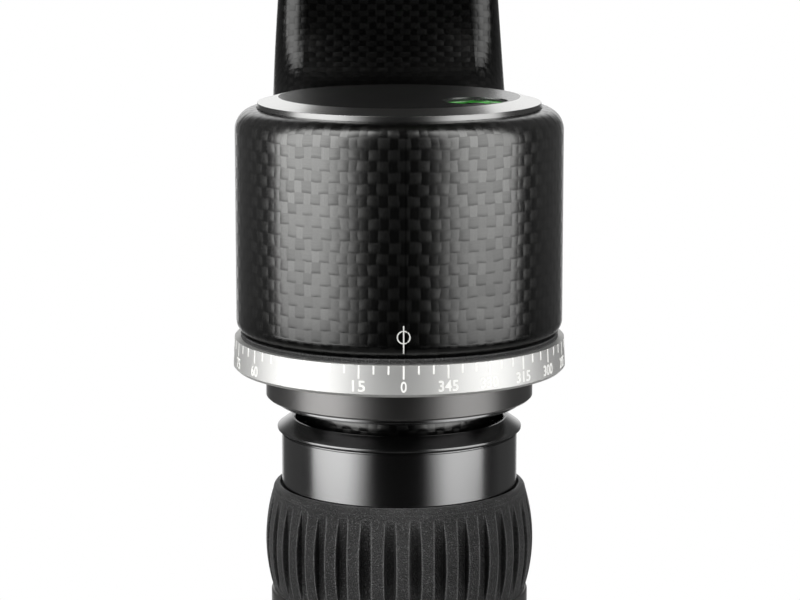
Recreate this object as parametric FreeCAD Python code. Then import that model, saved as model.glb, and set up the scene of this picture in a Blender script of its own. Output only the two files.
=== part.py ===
"""Gimbal tripod head with a moulded carbon-fibre arm.

Millimetres, +Z up.  The origin is the centre of the base's underside, on the
pan axis.  The lens lies along X, the tilt axis lies along Y and the arm stands
on the +Y side.  Every sub-part is one function and one STEP file.
"""
import FreeCAD
import Part
import math
import os
from FreeCAD import Vector

# ---------------------------------------------------------------- fits
bond = 0.0              # pressed, screwed or bonded together
run_gap = 0.05          # running fit between a turning piece and its seat
face_gap = 0.3          # faces that pass each other

# ---------------------------------------------------------------- base
base_radius = 20.0
base_height = 3.0
base_chamfer = 0.6
bush_radius = 8.0
bush_height = 13.5
socket_radius = 3.97    # wall of the 3/8"-16 thread
socket_depth = 12.5
foot_screw_circle = 11.5
foot_screw_count = 3
core_radius = 15.0      # journal that the lock collar turns on
core_floor = 14.8       # height of the floor of the bearing bore
core_land = 2.0         # the brake windows reach this far into the bearing bore
neck_radius = 16.0
neck_wall = 1.6
neck_gap = 3.6          # open gap between the collar and the flange
circlip_height = 1.0
circlip_radius = 17.6
circlip_groove = 0.9    # depth of its groove in the column
circlip_opening = 4.0   # gap between its ends
neck_ring_radius = 21.7
neck_ring_height = 1.0

# ---------------------------------------------------------------- lock collar
foot_ring_radius = 22.65
foot_ring_height = 5.5
grip_length = 19.0
grip_end_radius = 22.2
grip_bulge_radius = 23.55
grip_lip = 1.2          # rounding at the grip's upper end
grip_relief = 0.4       # open joint round the core at the grip's far end
rib_count = 34
groove_depth = 1.15
groove_mouth = 2.15
groove_root = 1.6
barrel_radius = 20.67
band_height = 9.0       # bare barrel between the grip and the top ring
top_ring_radius = 21.4
top_ring_height = 2.9
top_ring_bore = 18.3
top_ring_foot = 0.3     # small step below the ring's rim
top_ring_waist = 0.8    # height of the ring's widest line
top_ring_slope = 2.5    # how far its chamfer comes in
thread_radius = 17.0    # inside thread that lifts the pan brake ring
thread_length = 12.0
thread_start = 0.6      # above the foot ring
barrel_clearance = 1.4  # between the barrel's foot and the column
barrel_chamfer = 0.8
journal_height = 4.2    # bearing shoulder of the barrel on the column
circlip_pocket = 5.1    # depth of the recess above that shoulder

# ---------------------------------------------------------------- pan brake
brake_ring_height = 2.7
brake_ring_bore = 6.2
brake_key_count = 3
brake_key_width = 8.0
brake_disc_radius = 11.5
brake_disc_height = 3.0
brake_travel = 0.6
brake_floor_gap = 0.25  # below the open brake ring
disc_clearance = 2.0    # between the disc and the bearing
bolt_pocket = 0.8       # the bolt's washer stands out beyond its head
bolt_head_radius = 4.6
bolt_head_height = 2.6
bolt_radius = 3.0
bolt_length = 14.0

# ---------------------------------------------------------------- dial stack
flange_height = 5.2
flange_chamfer = 0.3
flange_hub_radius = 16.5
flange_inset = 5.11     # flange behind the housing's outside
dial_overhang = 0.55    # dial ring beyond the housing's outside
dial_draft = 0.23       # the dial ring is this much slimmer at the housing
dial_height = 5.4
dial_chamfer = 0.5
seal_inset = 0.75       # seal ring behind the housing's outside
seal_width = 3.2
seal_height = 0.85
ring_screw_count = 6
ring_screw_sink = 0.4

# ---------------------------------------------------------------- bearings
bearing_outer = 12.0
bearing_inner = 6.0
race_length = 6.0
race_wall = 1.7
bearing_sink = 0.6      # upper pan bearing below the dial's face
spindle_step = 1.0      # smaller end that carries a brake disc

# ---------------------------------------------------------------- housings
housing_radius = 28.45
housing_wall = 2.5
core_lift = 0.4         # metal core behind the moulding's rim
housing_foot_round = 2.2
shoulder_round = 3.7
cup_length = 39.05
hub_length = 32.0
cap_step = 0.21         # cap behind the shoulder's edge
cap_edge = 0.95
cap_thickness = 1.9
cap_bevel = 3.64
plug_step = 3.04        # plug behind the cap's edge
plug_length = 7.0
core_web = 6.8          # floor of the cup core, under the spindle's flange
spindle_flange_inset = 5.5
spindle_flange_height = 4.0
spindle_screw_count = 4

# ---------------------------------------------------------------- level
level_radius = 5.5
level_edge = 0.4        # between the level and the cap's bevel
level_turn = -32.0      # degrees from +X towards the free side
level_rim = 0.2         # rim of the level below the cap's face
level_glass_radius = 4.8
level_depth = 7.6
level_floor = 1.2
level_sink = 0.4        # top of the glass below the cap's face
glass_height = 1.2
bubble_radius = 1.7
bubble_height = 0.8

# ---------------------------------------------------------------- arm
arm_reach = 84.0        # pan axis to the arm's inner face
arm_thickness = 22.0
arm_inner_bend = 20.0
arm_corner = 6.0
arm_root = 8.0          # where the beam starts inside the cup
beam_drop = 8.05        # beam below the cap's face
beam_inset = 5.15       # beam's side behind the housing's outside
waist_inset = 8.05
waist_height = 152.0
crown_inset = 3.95
tilt_height = 212.0     # tilt axis above the origin
hub_inset = 4.0         # hub's inner face stands proud of the arm by this
tilt_bearing_near = 4.0
tilt_bearing_far = 18.0
hub_disc_gap = 0.5      # between the far bearing and the brake disc
hub_plug_length = 6.0

# ---------------------------------------------------------------- tilt lock
pad_radius = 12.0
pad_bore_gap = 1.0
pad_bolt_gap = 1.4
pad_web_gap = 0.6
pad_web = 2.0
pad_pressed = 0.45      # pad travel to the disc when tightened
pad_released = 0.75
knob_stud_radius = 7.0
knob_boss_radius = 12.0
knob_boss_height = 3.5
knob_gap = 1.5
knob_length = 19.5
knob_core_radius = 15.0
knob_flange = 1.6       # height of the rim below the grip
knob_flange_width = 2.0
knob_edge = 0.6
knob_grip_end = 18.2
knob_grip_bulge = 19.6
knob_grip_length = 16.0
knob_grip_lip = 0.8
knob_ribs = 28
knob_cap_radius = 13.5
knob_cap_height = 1.2

# ---------------------------------------------------------------- cradle
swing_thickness = 9.0
swing_top_inset = 3.45  # head of the plate behind the housing's outside
swing_waist = 6.0       # the plate below it is this much slimmer on each side
swing_bottom = 118.0
swing_corner = 8.0
swing_edge = 0.8
slot_width = 8.2
tee_slot_width = 15.0
tee_slot_depth = 5.0
shaft_flange_radius = 14.0
shaft_flange_height = 4.0
swing_screw_count = 6
swing_screw_end = 1.0   # screws end this far below the flange's face

# ---------------------------------------------------------------- carriage
platform_bottom = 120.0
platform_thickness = 8.0
platform_front = -22.0
platform_half_width = 22.0
leg_thickness = 8.0
leg_half_width = 18.0
leg_height = 42.0
leg_bend = 5.0
leg_corner = 5.0
bracket_heel = 3.0
platform_corner = 6.0
bolt_rise = 26.0        # height bolt above the platform's underside
lift = 34.0             # height travel of the carriage
tongue_depth = 3.0
tongue_length = 9.0
stud_radius = 3.0
tee_nut_size = 14.4
tee_nut_height = 3.6
tee_nut_travel = 0.5
height_knob_radius = 12.5
height_knob_length = 16.0

# ---------------------------------------------------------------- clamp
dovetail_width = 38.3   # across the foot of the channel
dovetail_rise = 4.5     # height of the 45 degree flank
jaw_lip = 2.0
clamp_half_length = 30.0
clamp_height = 9.0
clamp_front = 18.0
clamp_back = 27.0
jaw_depth = 11.0
jaw_edge = 0.8
clamp_screw_height = 4.5
clamp_screw_bore = 6.0  # depth of the screw's hole past the pan axis
guide_radius = 1.6
guide_offset = 22.0
guide_seat = 3.0        # jaw left in front of the pins
guide_end = 5.0         # pins end this far past the pan axis
washer_radius = 6.0
clamp_knob_radius = 11.5
clamp_knob_length = 17.0
clamp_knob_gap = 1.0
clamp_knob_ribs = 16
height_knob_ribs = 18
small_knob_wall = 2.4   # grip's thickness on the small knobs
small_knob_taper = 0.8
small_knob_rim = 1.2
small_grip_lip = 0.5
clamp_bolt_spacing_x = 14.0
clamp_bolt_spacing_y = 9.0

# ---------------------------------------------------------------- fasteners
small_screw_radius = 1.5
small_screw_head = 2.7
small_screw_head_height = 1.6
small_screw_length = 8.0
clamp_bolt_radius = 2.1
clamp_bolt_head = 4.0
clamp_bolt_head_height = 3.0
clamp_bolt_end = 1.5    # bolts end this far below the channel's floor

# ---------------------------------------------------------------- levels
collar_bottom = base_height + face_gap
grip_bottom = collar_bottom + foot_ring_height
grip_top = grip_bottom + grip_length
barrel_top = grip_top + band_height
collar_top = barrel_top + top_ring_height
flange_bottom = collar_top + neck_gap
dial_bottom = flange_bottom + flange_height
dial_top = dial_bottom + dial_height
seal_bottom = dial_top + run_gap
cup_bottom = seal_bottom + seal_height
cup_top = cup_bottom + cup_length
cap_top = cup_top + cap_thickness
shelf_top = barrel_top - circlip_pocket
shelf_bottom = shelf_top - journal_height
circlip_bottom = shelf_top + run_gap
neck_bottom = circlip_bottom + circlip_height + face_gap
ring_bottom = core_floor + brake_floor_gap
disc_bottom = ring_bottom + brake_ring_height + brake_travel + run_gap
lower_bearing = disc_bottom + brake_disc_height + disc_clearance
upper_bearing = dial_top - race_length - bearing_sink
core_bottom = cup_bottom + core_lift
web_top = core_bottom + core_web
beam_top = cap_top - beam_drop
swing_back = -(run_gap + seal_height + run_gap + dial_height + flange_height)
hub_face = arm_reach - hub_inset
swing_front_y = hub_face + swing_back - swing_thickness
leg_back_y = swing_front_y - face_gap
leg_front_y = leg_back_y - leg_thickness
platform_top = platform_bottom + platform_thickness
height_bolt = platform_bottom + bolt_rise
clamp_floor = platform_top + clamp_height
jaw_top = clamp_floor + dovetail_rise + jaw_lip
clamp_axis = platform_top + clamp_screw_height
jaw_back = -clamp_front - face_gap
jaw_front = jaw_back - jaw_depth
clamp_knob_near = jaw_front - clamp_knob_gap
beam_axis = beam_top - arm_thickness / 2
arm_axis = arm_reach + arm_thickness / 2
bend_radius = arm_inner_bend + arm_thickness / 2
disc_near = tilt_bearing_far + race_length + hub_disc_gap
disc_far = disc_near + brake_disc_height
pad_near = disc_far + pad_pressed + run_gap
pad_far = disc_far + bolt_head_height + pad_web_gap + pad_web
pocket_far = pad_far + pad_released + face_gap
stud_end = pad_far + run_gap
boss_far = hub_length + cap_thickness + knob_boss_height
knob_near = boss_far + knob_gap
knob_far = knob_near + knob_length
grip_near = knob_near + knob_flange
grip_far = grip_near + knob_grip_length
plug_near = hub_length - hub_plug_length

# ---------------------------------------------------------------- widths
dial_radius = housing_radius + dial_overhang
dial_top_radius = dial_radius - dial_draft
flange_radius = housing_radius - flange_inset
seal_radius = housing_radius - seal_inset
seal_inner = seal_radius - seal_width
cap_radius = housing_radius - shoulder_round - cap_step
cap_flat_radius = cap_radius - cap_bevel
plug_radius = cap_radius - plug_step
level_reach = cap_flat_radius - level_edge - level_radius
level_x = level_reach * math.cos(math.radians(level_turn))
level_y = level_reach * math.sin(math.radians(level_turn))
spindle_flange_radius = plug_radius - spindle_flange_inset
spindle_screw_circle = (bearing_inner + spindle_flange_radius) / 2
ring_screw_circle = (flange_hub_radius + flange_radius) / 2
swing_screw_circle = (shaft_flange_radius + flange_radius) / 2
beam_half_width = housing_radius - beam_inset
waist_half_width = housing_radius - waist_inset
crown_half_width = housing_radius - crown_inset
swing_top_radius = housing_radius - swing_top_inset
swing_half_width = swing_top_radius - swing_waist
groove_radius = core_radius - circlip_groove
disc_seat = bearing_inner - spindle_step
race_land = bearing_outer - race_wall
race_shoulder = bearing_inner + race_wall

X_AXIS = Vector(1, 0, 0)
Y_AXIS = Vector(0, 1, 0)
Z_AXIS = Vector(0, 0, 1)
ORIGIN = Vector(0, 0, 0)
TOLERANCE = 1e-4


# ================================================================ helpers
def cylinder(radius, bottom, top, x=0.0, y=0.0):
    """Upright cylinder between two heights."""
    return Part.makeCylinder(radius, top - bottom, Vector(x, y, bottom))


def tube(outer, inner, bottom, top):
    """Ring about the Z axis."""
    return cylinder(outer, bottom, top).cut(cylinder(inner, bottom - 1, top + 1))


def block(x0, x1, y0, y1, z0, z1):
    """Box between two corners."""
    return Part.makeBox(x1 - x0, y1 - y0, z1 - z0, Vector(x0, y0, z0))


def turned(*corners):
    """Solid turned about Z.  A corner is (radius, height), and a triple
    (radius, height, (radius, height)) is reached by an arc through its pair."""
    edges = []
    here = corners[-1][:2]
    for corner in corners:
        start = Vector(here[0], 0, here[1])
        end = Vector(corner[0], 0, corner[1])
        if len(corner) == 3:
            through = Vector(corner[2][0], 0, corner[2][1])
            edges.append(Part.Arc(start, through, end).toShape())
        else:
            edges.append(Part.makeLine(start, end))
        here = corner[:2]
    return Part.Face(Part.Wire(edges)).revolve(ORIGIN, Z_AXIS, 360)


def rims(shape, *places):
    """Circular edges of a turned solid at the given (radius, height) places."""
    found = []
    for edge in shape.Edges:
        if isinstance(edge.Curve, Part.Circle):
            for radius, height in places:
                same_radius = abs(edge.Curve.Radius - radius) < TOLERANCE
                same_height = abs(edge.Curve.Center.z - height) < TOLERANCE
                if same_radius and same_height:
                    found.append(edge)
    return found


def around(shape, count, start=0.0):
    """Copies of a shape spaced evenly about the Z axis."""
    copies = []
    for index in range(count):
        copy = shape.copy()
        copy.rotate(ORIGIN, Z_AXIS, start + 360.0 * index / count)
        copies.append(copy)
    return Part.makeCompound(copies)


def on_tilt_axis(shape):
    """Turn a shape built about Z, from the hub's inner face, on to the tilt axis."""
    placed = shape.copy()
    placed.rotate(ORIGIN, X_AXIS, -90)
    placed.translate(Vector(0, hub_face, tilt_height))
    return placed


def facing_front(shape, y, z):
    """Turn a shape built about +Z so that it points along -Y from (0, y, z)."""
    placed = shape.copy()
    placed.rotate(ORIGIN, X_AXIS, 90)
    placed.translate(Vector(0, y, z))
    return placed


def along_y(radius, y0, y1, x, z):
    """Cylinder parallel to Y."""
    return Part.makeCylinder(radius, y1 - y0, Vector(x, y0, z), Y_AXIS)


def small_screw(circle, head_top):
    """One M3 cap screw on a bolt circle, head up."""
    head_bottom = head_top - small_screw_head_height
    head = cylinder(small_screw_head, head_bottom, head_top, circle)
    shank = cylinder(small_screw_radius, head_top - small_screw_length, head_bottom, circle)
    return head.fuse(shank)


def edges_at(shape, side_x=None, y=None, z=None):
    """Edges whose middle lies on the given planes, on either side of x = 0."""
    found = []
    for edge in shape.Edges:
        middle = edge.CenterOfMass
        wanted = ((side_x, abs(middle.x)), (y, middle.y), (z, middle.z))
        if all(plane is None or abs(plane - place) < TOLERANCE for plane, place in wanted):
            found.append(edge)
    return found


def grooves(floor, bulge, bottom, top, count):
    """Flared upright grooves; their mouth is as wide as named at the bulge."""
    flare = (groove_mouth - groove_root) / 2 / (bulge - floor)
    reach = bulge + 1.0
    half_root = groove_root / 2
    half_reach = half_root + flare * (reach - floor)
    corners = [Vector(floor, -half_root, bottom), Vector(reach, -half_reach, bottom),
               Vector(reach, half_reach, bottom), Vector(floor, half_root, bottom)]
    outline = Part.makePolygon(corners + corners[:1])
    cutter = Part.Face(outline).extrude(Vector(0, 0, top - bottom))
    return around(cutter, count)


def ribbed_sleeve(bore, end, bulge, bottom, top, lip, count):
    """Barrel-shaped rubber sleeve with spindle-shaped grooves."""
    middle = (bottom + top - lip) / 2
    sleeve = turned((bore, bottom), (end, bottom),
                    (end, top - lip, (bulge, middle)),
                    (end - lip, top, (end - lip * 0.29, top - lip * 0.29)),
                    (bore + grip_relief, top), (bore + grip_relief, top - 2 * grip_relief),
                    (bore, top - 2 * grip_relief))
    return sleeve.cut(grooves(bulge - groove_depth, bulge, bottom - 1, top + 1, count))


def races(outer, inner, seats):
    """One bearing race in each seat, as separate solids."""
    return Part.makeCompound([tube(outer, inner, seat, seat + race_length) for seat in seats])


# ================================================================ base
def base_plate():
    plate = cylinder(base_radius, 0, base_height)
    plate = plate.makeChamfer(base_chamfer, rims(plate, (base_radius, 0)))
    plate = plate.cut(cylinder(bush_radius + bond, -1, base_height + 1))
    return plate.cut(foot_screws())


def tripod_bush():
    """Steel insert with the blind 3/8"-16 socket."""
    bush = cylinder(bush_radius, 0, bush_height)
    return bush.cut(cylinder(socket_radius, -1, socket_depth))


def foot_screws():
    """Countersunk screws that hold the plate to the core column."""
    head = Part.makeCone(small_screw_head, small_screw_radius, small_screw_head_height,
                         Vector(foot_screw_circle, 0, 0))
    shank = cylinder(small_screw_radius, small_screw_head_height, small_screw_length,
                     foot_screw_circle)
    return around(head.fuse(shank), foot_screw_count, 60)


def core_column():
    """Turned column: socket boss, bearing bore, brake windows and collar journal."""
    neck_core = neck_radius - neck_wall
    column = turned(
        (0, base_height), (core_radius, base_height),
        (core_radius, circlip_bottom), (groove_radius, circlip_bottom),
        (groove_radius, circlip_bottom + circlip_height),
        (core_radius, circlip_bottom + circlip_height), (core_radius, neck_bottom),
        (neck_core, neck_bottom), (neck_core, flange_bottom), (0, flange_bottom))
    column = column.cut(cylinder(bush_radius + bond, base_height - 1, bush_height))
    column = column.cut(cylinder(bearing_outer, core_floor, lower_bearing + race_length))
    column = column.cut(cylinder(race_land, core_floor, flange_bottom + 1))
    half_window = brake_key_width / 2 + face_gap
    window_top = ring_bottom + brake_ring_height + brake_travel + face_gap
    window = block(bearing_outer - core_land, core_radius + 1, -half_window, half_window,
                   core_floor, window_top)
    column = column.cut(around(window, brake_key_count))
    return column.cut(foot_screws())


def collar_circlip():
    """Retaining ring that keeps the lock collar on the column."""
    ring = tube(circlip_radius, groove_radius, circlip_bottom,
                circlip_bottom + circlip_height)
    gap = block(0, circlip_radius + 1, -circlip_opening / 2, circlip_opening / 2,
                circlip_bottom - 1, neck_bottom)
    return ring.cut(gap)


def neck_tube():
    """Carbon-fibre sleeve that shows in the gap above the collar."""
    return tube(neck_radius, neck_radius - neck_wall, neck_bottom, flange_bottom)


def neck_ring():
    """Thin ring under the flange."""
    bottom = flange_bottom - neck_ring_height
    ring = tube(neck_ring_radius, neck_radius + bond, bottom, flange_bottom)
    return ring.makeChamfer(0.3, rims(ring, (neck_ring_radius, bottom)))


def pan_flange():
    """Flange with a hub that carries the upper pan bearing and centres the dial."""
    hub_top = dial_top - face_gap
    flange = turned(
        (race_land, flange_bottom), (flange_radius - flange_chamfer, flange_bottom),
        (flange_radius, flange_bottom + flange_chamfer), (flange_radius, dial_bottom),
        (flange_hub_radius, dial_bottom), (flange_hub_radius, hub_top),
        (bearing_outer, hub_top), (bearing_outer, upper_bearing),
        (race_land, upper_bearing))
    return flange.cut(flange_screws())


def dial_ring():
    """Graduated ring; the degree marks are printed on its outside."""
    ring = turned(
        (flange_hub_radius + bond, dial_bottom), (dial_radius - dial_chamfer, dial_bottom),
        (dial_radius, dial_bottom + dial_chamfer), (dial_top_radius, dial_top),
        (flange_hub_radius + bond, dial_top))
    return ring.cut(flange_screws())


def flange_screws():
    """Screws sunk in the dial ring, into the flange."""
    screw = small_screw(ring_screw_circle, dial_top - ring_screw_sink)
    return around(screw, ring_screw_count, 30)


def pan_bearing_outer_races():
    return races(bearing_outer, race_land, (lower_bearing, upper_bearing))


# ================================================================ lock collar
def collar_barrel():
    """Barrel with the inside thread, the journal shoulder and the circlip recess."""
    journal = core_radius + run_gap
    clear = core_radius + barrel_clearance
    thread_bottom = grip_bottom + thread_start
    thread_top = thread_bottom + thread_length
    return turned(
        (clear, collar_bottom), (barrel_radius - barrel_chamfer, collar_bottom),
        (barrel_radius, collar_bottom + barrel_chamfer), (barrel_radius, barrel_top),
        (top_ring_bore, barrel_top), (top_ring_bore, shelf_top),
        (journal, shelf_top), (journal, shelf_bottom),
        (thread_radius, shelf_bottom), (thread_radius, thread_top),
        (thread_radius, thread_bottom), (clear, thread_bottom))


def collar_foot_ring():
    bottom = collar_bottom + barrel_chamfer
    ring = tube(foot_ring_radius, barrel_radius + bond, bottom, grip_bottom)
    return ring.makeFillet(0.5, rims(ring, (foot_ring_radius, bottom),
                                     (foot_ring_radius, grip_bottom)))


def collar_grip():
    return ribbed_sleeve(barrel_radius + bond, grip_end_radius, grip_bulge_radius,
                         grip_bottom, grip_top, grip_lip, rib_count)


def collar_top_ring():
    """Chamfered ring with a short rim that closes the barrel."""
    widest = barrel_top + top_ring_waist
    foot = barrel_radius - top_ring_foot
    return turned(
        (top_ring_bore, barrel_top), (foot, barrel_top), (foot, barrel_top + top_ring_foot),
        (barrel_radius, barrel_top + top_ring_foot),
        (top_ring_radius, widest), (top_ring_radius, widest + top_ring_foot),
        (top_ring_radius - top_ring_slope, collar_top),
        (top_ring_bore + top_ring_foot, collar_top), (top_ring_bore, collar_top - top_ring_foot))


def pan_brake_ring():
    """Friction ring with keys that reach out through the column to the thread."""
    top = ring_bottom + brake_ring_height
    ring = tube(bearing_outer - face_gap, brake_ring_bore, ring_bottom, top)
    half_key = brake_key_width / 2
    key = block(bearing_outer - core_land, thread_radius, -half_key, half_key, ring_bottom, top)
    key = key.common(cylinder(thread_radius - run_gap, ring_bottom, top))
    return ring.fuse(around(key, brake_key_count)).removeSplitter()


# ================================================================ pan head
def seal_ring():
    return tube(seal_radius, seal_inner, seal_bottom, cup_bottom)


def pan_spindle():
    """Spindle with its bolting flange on the floor of the cup core."""
    disc_top = disc_bottom + brake_disc_height
    spindle = turned(
        (0, disc_bottom), (disc_seat, disc_bottom), (disc_seat, disc_top),
        (race_shoulder, disc_top), (race_shoulder, lower_bearing), (bearing_inner, lower_bearing),
        (bearing_inner, web_top), (spindle_flange_radius, web_top),
        (spindle_flange_radius, web_top + spindle_flange_height),
        (0, web_top + spindle_flange_height))
    return spindle.cut(spindle_bolt()).cut(spindle_screws())


def spindle_disc():
    """Brake disc on the spindle's lower end."""
    return tube(brake_disc_radius, disc_seat, disc_bottom, disc_bottom + brake_disc_height)


def spindle_bolt():
    """Bolt that holds the brake disc on the spindle."""
    head = cylinder(bolt_head_radius + bolt_pocket, disc_bottom - bolt_head_height, disc_bottom)
    shank = cylinder(bolt_radius, disc_bottom, disc_bottom + bolt_length)
    return head.fuse(shank)


def spindle_screws():
    top = web_top + spindle_flange_height
    return around(small_screw(spindle_screw_circle, top), spindle_screw_count, 45)


def pan_bearing_inner_races():
    return races(race_shoulder, bearing_inner, (lower_bearing, upper_bearing))


def cup_core():
    """Aluminium housing bonded inside the carbon cup."""
    wall = housing_radius - housing_wall
    top = cup_top - housing_wall
    core = turned(
        (bearing_inner, core_bottom), (wall, core_bottom), (wall, top), (plug_radius + bond, top),
        (plug_radius + bond, web_top), (bearing_inner, web_top))
    return core.cut(spindle_screws())


def housing(length):
    """Outside of a moulded housing: rounded foot and shoulder."""
    body = cylinder(housing_radius, 0, length)
    body = body.makeFillet(shoulder_round, rims(body, (housing_radius, length)))
    return body.makeFillet(housing_foot_round, rims(body, (housing_radius, 0)))


def housing_hollow(length):
    """Inside of a moulded housing, open at the foot and at the cap."""
    wide = cylinder(housing_radius - housing_wall, -1, length - housing_wall)
    return wide.fuse(cylinder(plug_radius + bond, -1, length + 1))


def arm_section(place, turn, half_width):
    """Rounded rectangle across the arm, its plane turned about X from vertical."""
    half_depth = arm_thickness / 2
    flat_x = half_width - arm_corner
    flat_z = half_depth - arm_corner
    cut = arm_corner * (1 - math.sqrt(0.5))
    corners = []
    for across, along in ((1, 1), (-1, 1), (-1, -1), (1, -1)):
        side = Vector(across * half_width, 0, along * flat_z)
        end = Vector(across * flat_x, 0, along * half_depth)
        middle = Vector(across * (half_width - cut), 0, along * (half_depth - cut))
        corners.append((side, middle, end) if across == along else (end, middle, side))
    edges = []
    for quarter in range(4):
        following = corners[(quarter + 1) % 4]
        edges.append(Part.Arc(*corners[quarter]).toShape())
        edges.append(Part.makeLine(corners[quarter][2], following[0]))
    section = Part.Wire(edges)
    section.rotate(ORIGIN, X_AXIS, turn)
    section.translate(place)
    return section


def eased(low, high, share):
    """Smooth change from low to high as share goes from 0 to 1."""
    return low + (high - low) * (1 - math.cos(math.pi * share)) / 2


def arm_shape():
    """C-shaped arm: beam from the cup, bend, waisted upright and crown."""
    bend_y = arm_reach - arm_inner_bend
    bend_z = beam_top + arm_inner_bend
    rise = waist_height - beam_axis
    sections = []
    for share in (0.0, 0.33, 0.66, 1.0):
        y = arm_root + (bend_y - arm_root) * share
        sections.append(arm_section(Vector(0, y, beam_axis), 0, beam_half_width))
    for turn in (22.5, 45.0, 67.5, 90.0):
        angle = math.radians(turn)
        place = Vector(0, bend_y + bend_radius * math.sin(angle),
                       bend_z - bend_radius * math.cos(angle))
        share = (place.z - beam_axis) / rise
        width = eased(beam_half_width, waist_half_width, share)
        sections.append(arm_section(place, turn, width))
    for share in (0.5, 1.0):
        height = bend_z + (waist_height - bend_z) * share
        width = eased(beam_half_width, waist_half_width, (height - beam_axis) / rise)
        sections.append(arm_section(Vector(0, arm_axis, height), 90, width))
    for share in (0.33, 0.66, 1.0):
        height = waist_height + (tilt_height - waist_height) * share
        width = eased(waist_half_width, crown_half_width, share)
        sections.append(arm_section(Vector(0, arm_axis, height), 90, width))
    return Part.makeLoft(sections, True, False)


def carbon_arm():
    """Cup, arm and hub moulded in one piece."""
    cup = housing(cup_length)
    cup.translate(Vector(0, 0, cup_bottom))
    cup_hollow = housing_hollow(cup_length)
    cup_hollow.translate(Vector(0, 0, cup_bottom))
    hub = on_tilt_axis(housing(hub_length))
    hub_hollow = on_tilt_axis(housing_hollow(hub_length))
    moulding = cup.fuse([arm_shape(), hub])
    return moulding.cut([cup_hollow, hub_hollow])


def cap(thickness_below):
    """Bevelled cover disc with a plug below it, its face at height cap_thickness."""
    return turned(
        (0, -thickness_below), (plug_radius, -thickness_below), (plug_radius, 0),
        (cap_radius, 0), (cap_radius, cap_edge),
        (cap_flat_radius, cap_thickness), (0, cap_thickness))


def cap_plate():
    """Bare cover of the pan housing with the pocket for the level."""
    plate = cap(plug_length)
    plate.translate(Vector(0, 0, cup_top))
    pocket = cylinder(level_radius, cap_top - level_depth, cap_top + 1, level_x, level_y)
    return plate.cut(pocket)


def level_housing():
    """Cup of the bull's-eye level."""
    bottom = cap_top - level_depth
    shell = cylinder(level_radius, bottom, cap_top - level_rim, level_x, level_y)
    inside = cylinder(level_glass_radius, bottom + level_floor, cap_top + 1, level_x, level_y)
    return shell.cut(inside)


def level_bubble():
    top = cap_top - level_sink - glass_height
    return cylinder(bubble_radius, top - bubble_height, top, level_x, level_y)


def level_fluid():
    bottom = cap_top - level_depth + level_floor
    top = cap_top - level_sink - glass_height
    return cylinder(level_glass_radius, bottom, top, level_x, level_y).cut(level_bubble())


def level_glass():
    top = cap_top - level_sink
    return cylinder(level_glass_radius, top - glass_height, top, level_x, level_y)


# ================================================================ tilt hub
def hub_core():
    """Aluminium bearing housing inside the hub."""
    wall = housing_radius - housing_wall
    mouth = pad_radius + pad_bore_gap
    near_end = tilt_bearing_near + race_length
    far_end = tilt_bearing_far + race_length
    core = turned(
        (race_land, core_lift), (wall, core_lift), (wall, hub_length - housing_wall),
        (plug_radius + bond, hub_length - housing_wall), (plug_radius + bond, plug_near),
        (mouth, plug_near), (mouth, far_end), (bearing_outer, far_end),
        (bearing_outer, tilt_bearing_far), (race_land, tilt_bearing_far), (race_land, near_end),
        (bearing_outer, near_end), (bearing_outer, tilt_bearing_near),
        (race_land, tilt_bearing_near))
    return on_tilt_axis(core)


def tilt_bearing_outer_races():
    seats = (tilt_bearing_near, tilt_bearing_far)
    return on_tilt_axis(races(bearing_outer, race_land, seats))


def hub_cap():
    """Bevelled cover of the hub with the threaded boss of the tilt lock."""
    cover = cap(hub_length - plug_near)
    cover.translate(Vector(0, 0, hub_length))
    boss = cylinder(knob_boss_radius, hub_length, boss_far)
    pocket = cylinder(pad_radius + pad_bore_gap, plug_near - 1, pocket_far)
    bore = cylinder(knob_stud_radius + run_gap, plug_near - 1, boss_far + 1)
    return on_tilt_axis(cover.fuse(boss).cut(pocket).cut(bore))


def hub_seal_ring():
    ring = tube(seal_radius, seal_inner, -seal_height, 0)
    return on_tilt_axis(ring)


# ================================================================ cradle
def tilt_shaft():
    """Shaft with a flange let into the swing plate."""
    far_end = tilt_bearing_far + race_length
    near_end = swing_back - shaft_flange_height
    shaft = turned(
        (0, near_end), (shaft_flange_radius, near_end),
        (shaft_flange_radius, swing_back), (bearing_inner, swing_back),
        (bearing_inner, far_end), (disc_seat, far_end), (disc_seat, disc_far), (0, disc_far))
    return on_tilt_axis(shaft.cut(tilt_bolt_shape()))


def tilt_bolt_shape():
    head = cylinder(bolt_head_radius + bolt_pocket, disc_far, disc_far + bolt_head_height)
    shank = cylinder(bolt_radius, disc_far - bolt_length, disc_far)
    return head.fuse(shank)


def tilt_bolt():
    """Bolt that holds the brake disc on the shaft."""
    return on_tilt_axis(tilt_bolt_shape())


def tilt_disc():
    """Brake disc on the shaft's outer end, with a boss on the bearing."""
    near = tilt_bearing_far + race_length
    disc = turned(
        (disc_seat, near), (race_shoulder, near), (race_shoulder, disc_near),
        (brake_disc_radius, disc_near), (brake_disc_radius, disc_far), (disc_seat, disc_far))
    return on_tilt_axis(disc)


def tilt_bearing_inner_races():
    seats = (tilt_bearing_near, tilt_bearing_far)
    return on_tilt_axis(races(race_shoulder, bearing_inner, seats))


def tilt_dial_ring():
    """Graduated ring of the tilt axis."""
    far = -(seal_height + run_gap)
    near = far - dial_height
    ring = turned(
        (flange_hub_radius, near), (dial_radius - dial_chamfer, near),
        (dial_radius, near + dial_chamfer), (dial_top_radius, far),
        (flange_hub_radius, far))
    return on_tilt_axis(ring.cut(swing_screws_shape()))


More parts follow.
